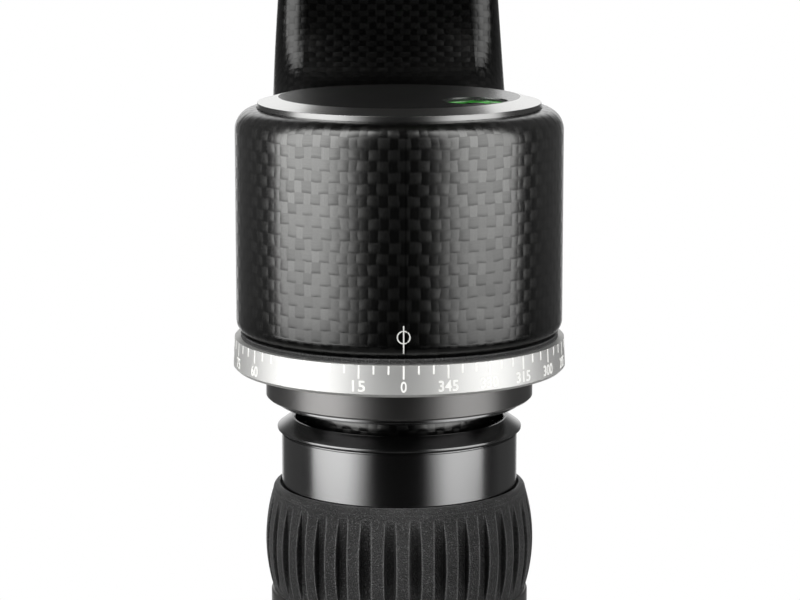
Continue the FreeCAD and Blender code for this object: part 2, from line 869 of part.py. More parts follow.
def tilt_flange():
    """Flange between the swing plate and the tilt dial."""
    hub_end = -(seal_height + run_gap + face_gap)
    flange = turned(
        (bearing_inner, swing_back), (flange_radius - flange_chamfer, swing_back),
        (flange_radius, swing_back + flange_chamfer), (flange_radius, swing_back + flange_height),
        (flange_hub_radius, swing_back + flange_height), (flange_hub_radius, hub_end),
        (bearing_inner, hub_end))
    return on_tilt_axis(flange.cut(swing_screws_shape()))


def swing_screws_shape():
    """Screws through the swing plate, built head down on the tilt axis."""
    bottom = swing_back - swing_thickness
    head = cylinder(small_screw_head, bottom, bottom + small_screw_head_height,
                    swing_screw_circle)
    shank = cylinder(small_screw_radius, bottom + small_screw_head_height,
                     swing_back + flange_height - swing_screw_end, swing_screw_circle)
    return around(head.fuse(shank), swing_screw_count)


def swing_screws():
    return on_tilt_axis(swing_screws_shape())


def swing_slot(width, rider, y0, y1):
    """Upright slot for a rider of this length that moves with the height bolt."""
    low = height_bolt - rider / 2 - face_gap
    high = height_bolt + lift + rider / 2 + face_gap
    slot = block(-width / 2, width / 2, y0, y1, low, high)
    ends = [along_y(width / 2, y0, y1, 0, z) for z in (low, high)]
    return slot.fuse(ends)


def swing_plate():
    """Hanging plate with the height slot."""
    back_y = hub_face + swing_back
    front_y = back_y - swing_thickness
    fall = math.radians(20)
    neck_x = swing_top_radius * math.cos(fall)
    neck_z = tilt_height - swing_top_radius * math.sin(fall)
    hip_z = tilt_height - 1.6 * swing_top_radius
    right = [Vector(swing_half_width, front_y, swing_bottom),
             Vector(swing_half_width, front_y, hip_z), Vector(neck_x, front_y, neck_z)]
    left = [Vector(-corner.x, corner.y, corner.z) for corner in right]
    crown = Part.Arc(right[2], Vector(0, front_y, tilt_height + swing_top_radius), left[2])
    sides = [Part.makeLine(right[0], right[1]), Part.makeLine(right[1], right[2]),
             crown.toShape(), Part.makeLine(left[2], left[1]), Part.makeLine(left[1], left[0]),
             Part.makeLine(left[0], right[0])]
    plate = Part.Face(Part.Wire(sides)).extrude(Vector(0, swing_thickness, 0))
    plate = plate.makeFillet(swing_corner, edges_at(plate, swing_half_width, z=swing_bottom))
    rim = edges_at(plate, y=front_y) + edges_at(plate, y=back_y)
    plate = plate.makeChamfer(swing_edge, rim)
    plate = plate.cut(swing_slot(slot_width, tongue_length, front_y - 1, back_y + 1))
    plate = plate.cut(swing_slot(tee_slot_width, tee_nut_size, back_y - tee_slot_depth, back_y + 1))
    seat = cylinder(shaft_flange_radius + bond, swing_back - shaft_flange_height, swing_back + 1)
    return plate.cut(on_tilt_axis(seat)).cut(swing_screws())


# ================================================================ tilt lock
def tilt_brake_pad():
    """Cup-shaped pad that the knob's stud presses on the disc."""
    bore = bolt_head_radius + pad_bolt_gap
    pad = turned(
        (bore, pad_near), (pad_radius, pad_near), (pad_radius, pad_far),
        (0, pad_far), (0, pad_far - pad_web), (bore, pad_far - pad_web))
    return on_tilt_axis(pad)


def tilt_knob_core():
    """Knob body with its threaded stud."""
    flange = knob_core_radius + knob_flange_width
    top = knob_core_radius + knob_flange
    core = turned(
        (0, stud_end), (knob_stud_radius, stud_end), (knob_stud_radius, knob_near),
        (flange - 2 * knob_edge, knob_near), (flange, knob_near + knob_edge),
        (flange, grip_near), (knob_core_radius, grip_near), (knob_core_radius, grip_far),
        (top, grip_far), (top, knob_far - knob_edge), (top - knob_edge, knob_far),
        (knob_cap_radius, knob_far), (knob_cap_radius, knob_far - knob_cap_height),
        (0, knob_far - knob_cap_height))
    return on_tilt_axis(core)


def tilt_knob_grip():
    sleeve = ribbed_sleeve(knob_core_radius + bond, knob_grip_end, knob_grip_bulge,
                           grip_near, grip_far, knob_grip_lip, knob_ribs)
    return on_tilt_axis(sleeve)


def tilt_knob_cap():
    """Flat cover let into the knob's outer end."""
    disc = cylinder(knob_cap_radius, knob_far - knob_cap_height, knob_far - 0.2)
    return on_tilt_axis(disc)


# ================================================================ carriage
def platform_bracket():
    """L-shaped bracket: leg on the swing plate, platform over the pan axis."""
    leg_top = platform_bottom + leg_height
    bend_y = leg_front_y - leg_bend
    side = Part.makePolygon([
        Vector(0, platform_front, platform_bottom), Vector(0, leg_back_y, platform_bottom),
        Vector(0, leg_back_y, leg_top), Vector(0, leg_front_y, leg_top),
        Vector(0, leg_front_y, platform_top), Vector(0, platform_front, platform_top),
        Vector(0, platform_front, platform_bottom)])
    solid = Part.Face(side).extrude(Vector(2 * platform_half_width, 0, 0))
    solid.translate(Vector(-platform_half_width, 0, 0))
    solid = solid.makeFillet(leg_bend, edges_at(solid, 0, leg_front_y, platform_top))
    solid = solid.makeFillet(bracket_heel, edges_at(solid, 0, leg_back_y, platform_bottom))
    plan = block(-platform_half_width, platform_half_width, platform_front, bend_y,
                 platform_bottom, platform_top)
    plan = plan.makeFillet(platform_corner, edges_at(plan, platform_half_width, platform_front))
    upright = block(-leg_half_width, leg_half_width, bend_y, leg_back_y, platform_bottom, leg_top)
    upright = upright.makeFillet(leg_corner, edges_at(upright, leg_half_width, z=leg_top))
    bracket = solid.common(plan.fuse(upright))
    tongue = block(-slot_width / 2 + run_gap, slot_width / 2 - run_gap, leg_back_y - 1,
                   leg_back_y + face_gap + tongue_depth,
                   height_bolt - tongue_length / 2, height_bolt + tongue_length / 2)
    bracket = bracket.fuse(tongue).removeSplitter()
    bore = along_y(stud_radius + run_gap, leg_front_y - 1, leg_back_y + 10, 0, height_bolt)
    return bracket.cut(bore).cut(clamp_bolts())


def clamp_bolts():
    """Screws up through the platform into the clamp."""
    bolts = []
    for side_x in (-1, 1):
        for side_y in (-1, 1):
            x = side_x * clamp_bolt_spacing_x
            y = side_y * clamp_bolt_spacing_y
            head = cylinder(clamp_bolt_head, platform_bottom,
                            platform_bottom + clamp_bolt_head_height, x, y)
            shank = cylinder(clamp_bolt_radius, platform_bottom + clamp_bolt_head_height,
                             clamp_floor - clamp_bolt_end, x, y)
            bolts.append(head.fuse(shank))
    return Part.makeCompound(bolts)


def dovetail_side(points):
    """Extrude a (y, z) outline along the clamp."""
    corners = [Vector(-clamp_half_length, y, z) for y, z in points]
    face = Part.Face(Part.makePolygon(corners + corners[:1]))
    return face.extrude(Vector(2 * clamp_half_length, 0, 0))


def clamp_base():
    """Clamp body with the fixed jaw on the arm's side."""
    half = dovetail_width / 2
    lip = half - dovetail_rise
    base = dovetail_side([
        (-clamp_front, platform_top), (clamp_back, platform_top),
        (clamp_back, jaw_top - jaw_edge), (clamp_back - jaw_edge, jaw_top), (lip, jaw_top),
        (lip, clamp_floor + dovetail_rise), (half, clamp_floor), (-clamp_front, clamp_floor)])
    start = -clamp_front - 1
    base = base.cut(along_y(stud_radius + run_gap, start, clamp_screw_bore, 0, clamp_axis))
    for x in (-guide_offset, guide_offset):
        base = base.cut(along_y(guide_radius + run_gap, start, clamp_screw_bore, x, clamp_axis))
    return base.cut(clamp_bolts())


def moving_jaw():
    """Sliding jaw, shown closed on a 38 mm plate."""
    half = dovetail_width / 2
    lip = half - dovetail_rise
    bottom = platform_top + face_gap
    jaw = dovetail_side([
        (jaw_front, bottom), (jaw_back, bottom),
        (jaw_back, clamp_floor), (-half, clamp_floor), (-lip, clamp_floor + dovetail_rise),
        (-lip, jaw_top), (jaw_front + jaw_edge, jaw_top), (jaw_front, jaw_top - jaw_edge)])
    bore = along_y(stud_radius + run_gap, jaw_front - 1, jaw_back + 1, 0, clamp_axis)
    return jaw.cut(bore).cut(jaw_guide_pins())


def jaw_guide_pins():
    """Pins in the jaw that slide in the clamp body."""
    near = jaw_front + guide_seat
    return Part.makeCompound([along_y(guide_radius, near, guide_end, x, clamp_axis)
                              for x in (-guide_offset, guide_offset)])


def small_knob_core(radius, length, stud_length):
    """Knob core with a stud below it and a rim on each side of the grip."""
    seat = radius - small_knob_wall
    rim = seat + small_knob_rim
    grip_end = length - small_knob_rim
    return turned(
        (0, -stud_length), (stud_radius, -stud_length), (stud_radius, 0),
        (rim - knob_edge, 0), (rim, small_knob_rim), (seat, small_knob_rim), (seat, grip_end),
        (rim, grip_end), (rim - knob_edge, length), (0, length))


def small_knob_grip(radius, length, count):
    return ribbed_sleeve(radius - small_knob_wall, radius - small_knob_taper, radius,
                         small_knob_rim, length - small_knob_rim, small_grip_lip, count)


def clamp_knob_core():
    """Knob and screw of the clamp."""
    stud = guide_end - clamp_knob_near
    core = small_knob_core(clamp_knob_radius, clamp_knob_length, stud)
    return facing_front(core, clamp_knob_near, clamp_axis)


def clamp_knob_washer():
    """Washer between the clamp knob and the jaw."""
    back = jaw_front - run_gap
    front = clamp_knob_near + run_gap
    ring = along_y(washer_radius, front, back, 0, clamp_axis)
    return ring.cut(along_y(stud_radius, front - 1, back + 1, 0, clamp_axis))


def clamp_knob_grip():
    grip = small_knob_grip(clamp_knob_radius, clamp_knob_length, clamp_knob_ribs)
    return facing_front(grip, clamp_knob_near, clamp_axis)


def height_knob_core():
    """Knob and stud that lock the carriage's height."""
    stud = leg_thickness + face_gap + swing_thickness - 1.0 + run_gap
    core = small_knob_core(height_knob_radius, height_knob_length, stud)
    return facing_front(core, leg_front_y - run_gap, height_bolt)


def height_knob_grip():
    grip = small_knob_grip(height_knob_radius, height_knob_length, height_knob_ribs)
    return facing_front(grip, leg_front_y - run_gap, height_bolt)


def height_tee_nut():
    """Nut that slides in the swing plate's T-slot."""
    floor_y = hub_face + swing_back - tee_slot_depth
    near = floor_y + tee_nut_travel + 0.1
    half = tee_nut_size / 2
    nut = block(-half, half, near, near + tee_nut_height, height_bolt - half, height_bolt + half)
    return nut.cut(along_y(stud_radius + run_gap, near - 1, near + 10, 0, height_bolt))


pieces = (
    base_plate, tripod_bush, foot_screws, core_column, collar_circlip, neck_tube, neck_ring,
    pan_flange, dial_ring, flange_screws, pan_bearing_outer_races,
    collar_barrel, collar_foot_ring, collar_grip, collar_top_ring, pan_brake_ring,
    seal_ring, pan_spindle, spindle_disc, spindle_bolt, spindle_screws,
    pan_bearing_inner_races, cup_core, carbon_arm, cap_plate,
    level_housing, level_fluid, level_bubble, level_glass,
    hub_core, tilt_bearing_outer_races, hub_cap, hub_seal_ring,
    tilt_shaft, tilt_bolt, tilt_disc, tilt_bearing_inner_races, tilt_dial_ring, tilt_flange,
    swing_screws, swing_plate, tilt_brake_pad, tilt_knob_core, tilt_knob_grip, tilt_knob_cap,
    platform_bracket, clamp_bolts, clamp_base, moving_jaw, jaw_guide_pins,
    clamp_knob_core, clamp_knob_washer, clamp_knob_grip,
    height_knob_core, height_knob_grip, height_tee_nut)

os.makedirs("parts", exist_ok=True)
for piece in pieces:
    piece().exportStep("parts/" + piece.__name__ + ".step")
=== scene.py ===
"""Finishes, dial marks, screws and studio for the gimbal tripod head.

Metres, +Z up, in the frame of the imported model.  The pan axis is the Z axis,
the tilt axis lies along Y and the carbon arm stands on the +Y side.
"""
import math

import bmesh
import bpy
from bpy.props import FloatProperty, FloatVectorProperty, PointerProperty
from mathutils import Matrix, Vector


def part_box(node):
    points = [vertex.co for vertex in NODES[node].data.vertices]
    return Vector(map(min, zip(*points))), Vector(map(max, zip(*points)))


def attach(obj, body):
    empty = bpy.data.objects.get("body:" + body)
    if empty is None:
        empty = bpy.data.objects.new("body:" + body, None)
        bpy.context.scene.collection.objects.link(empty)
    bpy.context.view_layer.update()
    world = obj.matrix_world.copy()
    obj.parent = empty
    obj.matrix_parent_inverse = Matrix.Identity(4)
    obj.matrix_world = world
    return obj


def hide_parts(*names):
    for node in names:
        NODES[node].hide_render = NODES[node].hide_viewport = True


bl_info = {
    "name": "Gimbal Tripod Head",
    "version": (1, 0, 0),
    "blender": (4, 5, 0),
    "location": "View3D > Sidebar > Gimbal Head",
    "description": "Finishes, dial marks, screws and studio for a gimbal tripod head",
    "category": "Object",
}

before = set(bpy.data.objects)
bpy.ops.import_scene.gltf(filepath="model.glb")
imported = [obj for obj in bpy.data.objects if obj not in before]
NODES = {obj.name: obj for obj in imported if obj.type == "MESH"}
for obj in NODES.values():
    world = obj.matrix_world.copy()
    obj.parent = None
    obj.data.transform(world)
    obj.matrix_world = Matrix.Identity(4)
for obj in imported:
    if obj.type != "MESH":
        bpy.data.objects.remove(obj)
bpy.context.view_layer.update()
MM = 0.001


def linear(hex_value):
    """An sRGB hex colour as linear red, green, blue and alpha."""
    channels = [int(hex_value[i:i + 2], 16) / 255 for i in (1, 3, 5)]
    return [c / 12.92 if c <= 0.04045 else ((c + 0.055) / 1.055) ** 2.4 for c in channels] + [1.0]


def colour_property(label, note, hex_value):
    """A colour to set, from its sRGB hex value."""
    return FloatVectorProperty(name=label, description=note, default=linear(hex_value),
                               subtype="COLOR", size=4, min=0.0, max=1.0)


def length_property(label, note, millimetres):
    """A length to set, from its millimetres."""
    return FloatProperty(name=label, description=note, default=millimetres * MM,
                         min=0.0, unit="LENGTH", subtype="DISTANCE", precision=5)


# ---- places from the frame
DIAL_LOW, DIAL_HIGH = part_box("dial_ring")
CUP_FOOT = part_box("seal_ring")[1].z
HOUSING_RADIUS = -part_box("carbon_arm")[0].x
ON_HOUSING = HOUSING_RADIUS + 0.1 * MM
HUB_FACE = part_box("hub_seal_ring")[1].y
TILT_LOW, TILT_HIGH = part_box("tilt_dial_ring")
TILT_HEIGHT = (TILT_LOW.z + TILT_HIGH.z) / 2
NECK_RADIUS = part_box("neck_tube")[1].x
# From the Z axis to +Y, and from the pan dial to the tilt dial.
ALONG_Y = Matrix.Rotation(math.radians(-90), 4, "X")
ON_TILT_AXIS = (Matrix.Translation((0, HUB_FACE, TILT_HEIGHT)) @ ALONG_Y
                @ Matrix.Translation((0, 0, -CUP_FOOT)))

# The arm is a beam along +Y, a bend and an upright: the bend's centre, and the radii of
# its centreline and of its inner face.
ARM_BEND_Y = 64.0 * MM
ARM_BEND_Z = 107.7 * MM
ARM_BEND_RADIUS = 31.0 * MM
ARM_INNER_DEPTH = 20.0 * MM
HOUSING_FOOT_ROUND = 2.2 * MM
# How much the dial narrows upwards.
DIAL_DRAFT = 0.23 * MM

# ---- sizes of patterns, marks and studio
# Blasting grit and mould pebble are finer; they are drawn as coarse as they need to show.
GRIT = 0.2 * MM
# Filaments are 7 microns across; they are drawn 0.2 mm wide so that they show.
FILAMENT = 0.2 * MM
INK_GRAIN = 0.25 * MM
PAPER_FIBRE = 1.5 * MM
ACRYLIC_RIPPLE = 3 * MM
# Patches over which sheen, cloth, dust, wear and the level's painted glow change.
SHEEN_PATCH = 14 * MM
CLOTH_PATCH = 4 * MM
DUST_PATCH = 4 * MM
WEAR_PATCH = 1.5 * MM
PAINTED_GLOW_PATCH = 1.8 * MM
PEBBLE_DEPTH = 0.42 * MM
BROKEN_EDGE = 0.12 * MM
RUBBED_EDGE = 0.15 * MM
MOULDED_EDGE = 0.5 * MM
# How far the side of a groove reaches in the painted shade of the groove.
GROOVE_REACH = 2.5 * MM
# How far a row of the weave is pulled to the side, as a share of the weave's period.
ROW_PULL = 0.12
# The seam up the cup's front, and the heights over which the cup's weave is painted brighter
# upwards and darker at its foot, as painted light and shade.
SEAM_PLACE = 0.35 * MM
SEAM_HALF_WIDTH = 0.14 * MM
SEAM_SHADE = -0.45
PAINTED_GRADIENT_HEIGHT = 34 * MM
PAINTED_FOOT_SHADE_HEIGHT = 8 * MM
TICK_DEGREES = 5
NUMBER_DEGREES = 15
# Of a numeral: its thickened stroke as a share of its height, and its gap of its width.
DIGIT_WEIGHT = 0.012
DIGIT_GAP = 0.18
# Of the index mark: its foot above the housing's, and its circle's place and stroke as
# shares of the line's length and width.
INDEX_LIFT = 1.0 * MM
RING_PLACE = 0.59
RING_STROKE = 0.9
# Depths of the hexagon sockets, as shares of the heads' heights.
SMALL_KEY_SHARE = 0.7
LARGE_KEY_SHARE = 0.6
# The softboxes: from the pan axis, and their lower and upper edges.
LAMP_REACH = 0.7
LAMP_LOW = -0.16
LAMP_HIGH = 2.4
# Half widths of the backdrop, from full light to none, its heights as sines of their
# elevations, and where its spill fades.
BACKDROP_FULL = math.radians(12)
BACKDROP_EDGE = math.radians(24)
BACKDROP_TOP_FULL = 0.65
BACKDROP_TOP_EDGE = 0.8
SPILL_FULL = math.radians(66)
SPILL_EDGE = math.radians(88)
FLOOR_REACH = 1.6


# ---- settings
class GimbalFinishes(bpy.types.PropertyGroup):
    fibre: colour_property("Carbon fibre", "Upright tows", "#5a5a59")
    # The cross tows' colour is the upright tows' darkened, as painted shade.
    fibre_shade: colour_property("Carbon shade", "Tows that run across them", "#545453")
    satin_black: colour_property("Satin black", "Blasted and black anodised", "#7c7b7a")
    bright_black: colour_property("Bright black", "Polished and black anodised", "#848484")
    graphite: colour_property("Graphite", "Cover plates", "#8f8f8e")
    silver: colour_property("Satin silver", "Graduated rings", "#e9e9e7")
    rubber: colour_property("Rubber", "Ribbed grips", "#292929")
    print_white: colour_property("Print", "Graduation and index marks", "#f2f2ee")
    liquid: colour_property("Level liquid", "Tinted spirit", "#3f9a3a")
    tow_width: length_property("Tow width", "Width of an upright tow", 1.40)
    tow_gap: length_property("Tow gap", "Between upright tows, where the cross tow shows", 1.97)
    tow_rise: length_property("Tow length", "Length of one tow between crossings", 1.92)
    tow_crown: length_property("Tow crown", "How far a tow arches over its crossing", 0.028)
    tow_stray: length_property("Tow stray", "How far the tows wander", 0.9)


class GimbalMarks(bpy.types.PropertyGroup):
    tick_width: length_property("Tick width", "Width of a degree mark", 0.30)
    edge_gap: length_property("Edge gap", "From the dial's edge to its ticks", 0.04)
    tick_long: length_property("Long tick", "Mark every fifteen degrees", 2.25)
    tick_short: length_property("Short tick", "Mark every five degrees", 1.45)
    digit_height: length_property("Digit height", "Height of a numeral", 1.85)
    digit_width: length_property("Digit width", "Width of one numeral with its gap", 1.22)
    digit_gap: length_property("Digit gap", "Between a long tick and its numeral", 0.35)
    index_height: length_property("Index height", "Length of the index line", 4.75)
    index_width: length_property("Index width", "Stroke of the index mark", 0.23)
    index_ring: length_property("Index ring", "Outside diameter of its circle", 2.30)
    print_rise: length_property("Print rise", "Thickness of the printed ink", 0.02)


class GimbalScrews(bpy.types.PropertyGroup):
    chamfer: length_property("Head chamfer", "Broken edge of a head", 0.25)
    small_head: length_property("Small head", "Head diameter of an M3 screw", 5.4)
    small_seat: length_property("Small seat", "Head height of an M3 screw", 1.6)
    small_shank: length_property("Small shank", "Shank diameter of an M3 screw", 3.0)
    small_key: length_property("Small key", "Hexagon of an M3 screw across flats", 2.5)
    large_head: length_property("Large head", "Head diameter of an M4 screw", 8.0)
    large_seat: length_property("Large seat", "Head height of an M4 screw", 3.0)
    large_shank: length_property("Large shank", "Shank diameter of an M4 screw", 4.2)
    large_key: length_property("Large key", "Hexagon of an M4 screw across flats", 3.0)


class GimbalStage(bpy.types.PropertyGroup):
    lens: FloatProperty(name="Lens", description="Focal length in millimetres", default=130.5)
    distance: length_property("Distance", "From the pan axis, level", 499.4)
    height: length_property("Height", "Camera above the base", 146.0)
    pitch: FloatProperty(name="Pitch", description="Camera looks down by this",
                         default=math.radians(9.77), subtype="ANGLE")
    swing: FloatProperty(name="Swing", description="Camera stands to the left by this",
                         default=math.radians(1.45), subtype="ANGLE")
    aim: FloatProperty(name="Aim", description="Camera turns to the right by this",
                       default=math.radians(0.014), subtype="ANGLE")
    radiance: FloatProperty(name="Softbox radiance", description="Brightness of a lamp's face",
                            default=3.1, min=0.0)
    balance: FloatProperty(name="Right softbox", description="Its share of the left one's radiance",
                           default=0.78, min=0.0)
    ambient: FloatProperty(name="Ambient", description="World light on matt surfaces",
                           default=0.1, min=0.0)
    studio: FloatProperty(name="Dark studio", description="World as gloss sees it",
                          default=0.008, min=0.0)
    spill: FloatProperty(name="Spill", description="Beside the backdrop as gloss sees it",
                         default=0.12, min=0.0)
    floor_drop: length_property("Floor drop", "Floor below the head, as under a tripod", 1100.0)


# ---- shared makers
def add(tree, kind, inputs=None, **settings):
    """Add a shader node with its settings.  An input is a value, a socket to link or a
    node, which gives its first output in use."""
    node = tree.nodes.new("ShaderNode" + kind)
    for name, value in settings.items():
        setattr(node, name, value)
    for name, value in (inputs or {}).items():
        if isinstance(value, bpy.types.Node):
            value = next(socket for socket in value.outputs if socket.enabled)
        if isinstance(value, bpy.types.NodeSocket):
            tree.links.new(value, node.inputs[name])
        else:
            node.inputs[name].default_value = value
    return node


def emptied(owner):
    """The node tree of a material, a lamp or the world, without its nodes."""
    owner.use_nodes = True
    owner.node_tree.nodes.clear()
    return owner.node_tree


def new_material(name):
    """A node material to fill, its tree and its Object coordinates."""
    material = bpy.data.materials.new(name)
    tree = emptied(material)
    return material, tree, add(tree, "TexCoord").outputs["Object"]


def surfaced(material, kind, inputs):
    """End a material with its surface shader and give it back."""
    tree = material.node_tree
    add(tree, "OutputMaterial", {0: add(tree, kind, inputs)})
    return material


def dress(material, *names):
    """Give CAD nodes a finish through their material slots."""
    for name in names:
        for slot in NODES[name].material_slots:
            slot.material = material


def placed(name, data):
    """A new object in the scene."""
    holder = bpy.data.objects.new(name, data)
    bpy.context.scene.collection.objects.link(holder)
    return holder


def meshed(bm, name, material):
    """Turn a bmesh into an object with flat faces and a material."""
    mesh = bpy.data.meshes.new(name)
    for face in bm.faces:
        face.smooth = False
    bm.to_mesh(mesh)
    bm.free()
    mesh.materials.append(material)
    return placed(name, mesh)


def finished(bm, name, material, body, place=Matrix.Identity(4)):
    """Turn a bmesh into a piece that rides on a body, with its place in its mesh."""
    bmesh.ops.transform(bm, matrix=place, verts=bm.verts)
    piece = meshed(bm, name, material)
    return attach(piece, body)


def join(whole, part):
    """Move a bmesh into another one."""
    mesh = bpy.data.meshes.new("part")
    part.to_mesh(mesh)
    part.free()
    whole.from_mesh(mesh)
    bpy.data.meshes.remove(mesh)


# ---- cloth coordinates
def column_cloth(tree, place):
    """Cloth wound round the neck: across, along, the fibres' upright direction and its painted
    shade, which is none."""
    axes = add(tree, "SeparateXYZ", {0: place})
    back = add(tree, "Math", {0: axes.outputs["Y"], 1: -1.0}, operation="MULTIPLY")
    turn = add(tree, "Math", {0: axes.outputs["X"], 1: back}, operation="ARCTAN2")
    across = add(tree, "Math", {0: turn, 1: NECK_RADIUS}, operation="MULTIPLY")
    upright = add(tree, "CombineXYZ", {"Z": 1.0})
    return across, axes.outputs["Z"], upright, 1.0


def housing_cloth(tree, x, up):
    """The way round a housing from where up is highest, and a mask that is 1 on it; x and
    up are measured from its axis."""
    turn = add(tree, "Math", {0: x, 1: up}, operation="ARCTAN2")
    across = add(tree, "Math", {0: turn, 1: HOUSING_RADIUS}, operation="MULTIPLY")
    plan = add(tree, "CombineXYZ", {"X": x, "Y": up})
    reach = add(tree, "VectorMath", {0: plan}, operation="LENGTH")
    mask = add(tree, "Math", {0: reach, 1: ON_HOUSING}, operation="LESS_THAN")
    return across, mask


def arm_cloth(tree, x, y, z):
    """Across and along the arm, and the direction of its upright fibres."""
    past_bend = add(tree, "Math", {0: y, 1: ARM_BEND_Y}, operation="SUBTRACT")
    over_bend = add(tree, "Math", {0: z, 1: ARM_BEND_Z}, operation="SUBTRACT")
    run = add(tree, "Math", {0: past_bend, 1: 0.0}, operation="MAXIMUM")
    drop = add(tree, "Math", {0: over_bend, 1: 0.0}, operation="MINIMUM")
    fall = add(tree, "Math", {0: drop, 1: -1.0}, operation="MULTIPLY")
    bend = add(tree, "Math", {0: run, 1: fall}, operation="ARCTAN2")
    before = add(tree, "Math", {0: past_bend, 1: 0.0}, operation="MINIMUM")
    after = add(tree, "Math", {0: over_bend, 1: 0.0}, operation="MAXIMUM")
    straight = add(tree, "Math", {0: before, 1: after}, operation="ADD")
    along = add(tree, "Math", {0: bend, 1: ARM_BEND_RADIUS, 2: straight}, operation="MULTIPLY_ADD")
    plane = add(tree, "CombineXYZ", {"X": run, "Y": fall})
    depth = add(tree, "VectorMath", {0: plane}, operation="LENGTH")
    inset = add(tree, "Math", {0: depth, 1: ARM_INNER_DEPTH}, operation="SUBTRACT")
    side = add(tree, "Math", {0: x}, operation="SIGN")
    across = add(tree, "Math", {0: side, 1: inset, 2: x}, operation="MULTIPLY_ADD")
    lean = add(tree, "Math", {0: bend}, operation="COSINE")
    climb = add(tree, "Math", {0: bend}, operation="SINE")
    return across, along, add(tree, "CombineXYZ", {"Y": lean, "Z": climb})


def moulding_cloth(tree, place):
    """Cloth on the one-piece moulding: round the cup, along the arm and round the hub, with the
    painted light and shade on it.
    """
    axes = add(tree, "SeparateXYZ", {0: place})
    x, y, z = (axes.outputs[name] for name in ("X", "Y", "Z"))
    back = add(tree, "Math", {0: y, 1: -1.0}, operation="MULTIPLY")
    rise = add(tree, "Math", {0: z, 1: TILT_HEIGHT}, operation="SUBTRACT")
    cup_across, on_cup = housing_cloth(tree, x, back)
    hub_across, on_hub = housing_cloth(tree, x, rise)
    across, along, upright = arm_cloth(tree, x, y, z)
    for mask, round_it, length, axis in ((on_cup, cup_across, z, (0.0, 0.0, 1.0)),
                                         (on_hub, hub_across, y, (0.0, 1.0, 0.0))):
        across = add(tree, "Mix", {"Factor": mask, 2: across, 3: round_it})
        along = add(tree, "Mix", {"Factor": mask, 2: along, 3: length})
        upright = add(tree, "Mix", {"Factor": mask, 4: upright, 5: axis}, data_type="VECTOR")

    # Painted light and shade: the cup's weave is painted brighter towards its top and darker
    # towards its foot, as the light falls on it.
    painted_gradient = add(tree, "MapRange", {"Value": z, "From Min": CUP_FOOT,
                                 "From Max": CUP_FOOT + PAINTED_GRADIENT_HEIGHT, "To Min": 0.66,
                                 "To Max": 1.16})
    painted_foot_shade = add(tree, "MapRange", {"Value": z, "From Min": CUP_FOOT,
                                  "From Max": CUP_FOOT + PAINTED_FOOT_SHADE_HEIGHT, "To Min": 0.55},
               interpolation_type="SMOOTHSTEP")
    painted_light_by_height = add(tree, "Math", {0: painted_gradient, 1: painted_foot_shade}, operation="MULTIPLY")
    cup_painted_light = add(tree, "Mix", {"Factor": on_cup, 2: 1.0, 3: painted_light_by_height})
    # Painted shade darkens the weave over the arm, and a dark seam runs up the cup's front.
    on_housing = add(tree, "Math", {0: on_cup, 1: on_hub}, operation="MAXIMUM")
    painted_shade = add(tree, "MapRange", {"Value": on_housing, "To Min": 0.36})
    painted_light = add(tree, "Math", {0: painted_shade, 1: cup_painted_light}, operation="MULTIPLY")
    seam_line = add(tree, "Math", {0: cup_across, 1: SEAM_PLACE, 2: SEAM_HALF_WIDTH},
                    operation="COMPARE")
    seam = add(tree, "Math", {0: seam_line, 1: on_cup}, operation="MULTIPLY")
    shade = add(tree, "Math", {0: seam, 1: SEAM_SHADE, 2: painted_light}, operation="MULTIPLY_ADD")
    return across, along, upright, shade


def weave(tree, across, along, finishes):
    """Squares of a plain weave: each one's own number, a mask that is 1 where the upright
    tow is on top, and the place within the square, 0 to 1 across and along."""
    period = finishes.tow_width + finishes.tow_gap
    share = finishes.tow_width / period
    # Rows alternate: in each one the upright tows are on top half a period further on.
    row = add(tree, "Math", {0: along, 1: finishes.tow_rise}, operation="DIVIDE")
    row_id = add(tree, "Math", {0: row}, operation="FLOOR")
    row_half = add(tree, "Math", {0: row_id, 1: 0.5}, operation="MULTIPLY")
    pull = add(tree, "TexWhiteNoise", {"W": row_id}, noise_dimensions="1D")
    pulled = add(tree, "Math", {0: pull, 1: ROW_PULL, 2: row_half}, operation="MULTIPLY_ADD")
    column = add(tree, "Math", {0: across, 1: 1 / period, 2: pulled}, operation="MULTIPLY_ADD")
    column_id = add(tree, "Math", {0: column}, operation="FLOOR")
    column_part = add(tree, "Math", {0: column}, operation="FRACT")
    warp_on_top = add(tree, "Math", {0: column_part, 1: share}, operation="LESS_THAN")
    wide = add(tree, "MapRange", {"Value": column_part, "From Max": share})
    slim = add(tree, "MapRange", {"Value": column_part, "From Min": share})
    square_across = add(tree, "Mix", {"Factor": warp_on_top, 2: slim, 3: wide})
    square_along = add(tree, "Math", {0: row}, operation="FRACT")
    square = add(tree, "CombineXYZ", {"X": column_id, "Y": row_id, "Z": warp_on_top})
    return square, warp_on_top, square_across, square_along


def tow_height(tree, warp_on_top, square_across, square_along):
    """Rise of a tow over its square.  A tow arches along its fibres, because its ends dive
    under the crossing tows, and is only rounded at its two sides."""
    run = add(tree, "Mix", {"Factor": warp_on_top, 2: square_across, 3: square_along})
    girth = add(tree, "Mix", {"Factor": warp_on_top, 2: square_along, 3: square_across})
    run_turn = add(tree, "Math", {0: run, 1: math.pi}, operation="MULTIPLY")
    arch = add(tree, "Math", {0: run_turn}, operation="SINE")
    girth_turn = add(tree, "Math", {0: girth, 1: math.pi}, operation="MULTIPLY")
    girth_sine = add(tree, "Math", {0: girth_turn}, operation="SINE")
    side = add(tree, "Math", {0: girth_sine, 1: 0.6}, operation="POWER")
    pillow = add(tree, "Math", {0: arch, 1: side}, operation="MULTIPLY")
    # The tows that run across lie proud; the upright ones stay almost flat.
    proud = add(tree, "MapRange", {"Value": warp_on_top, "To Min": 1.0, "To Max": 0.3})
    return add(tree, "Math", {0: pillow, 1: proud}, operation="MULTIPLY")


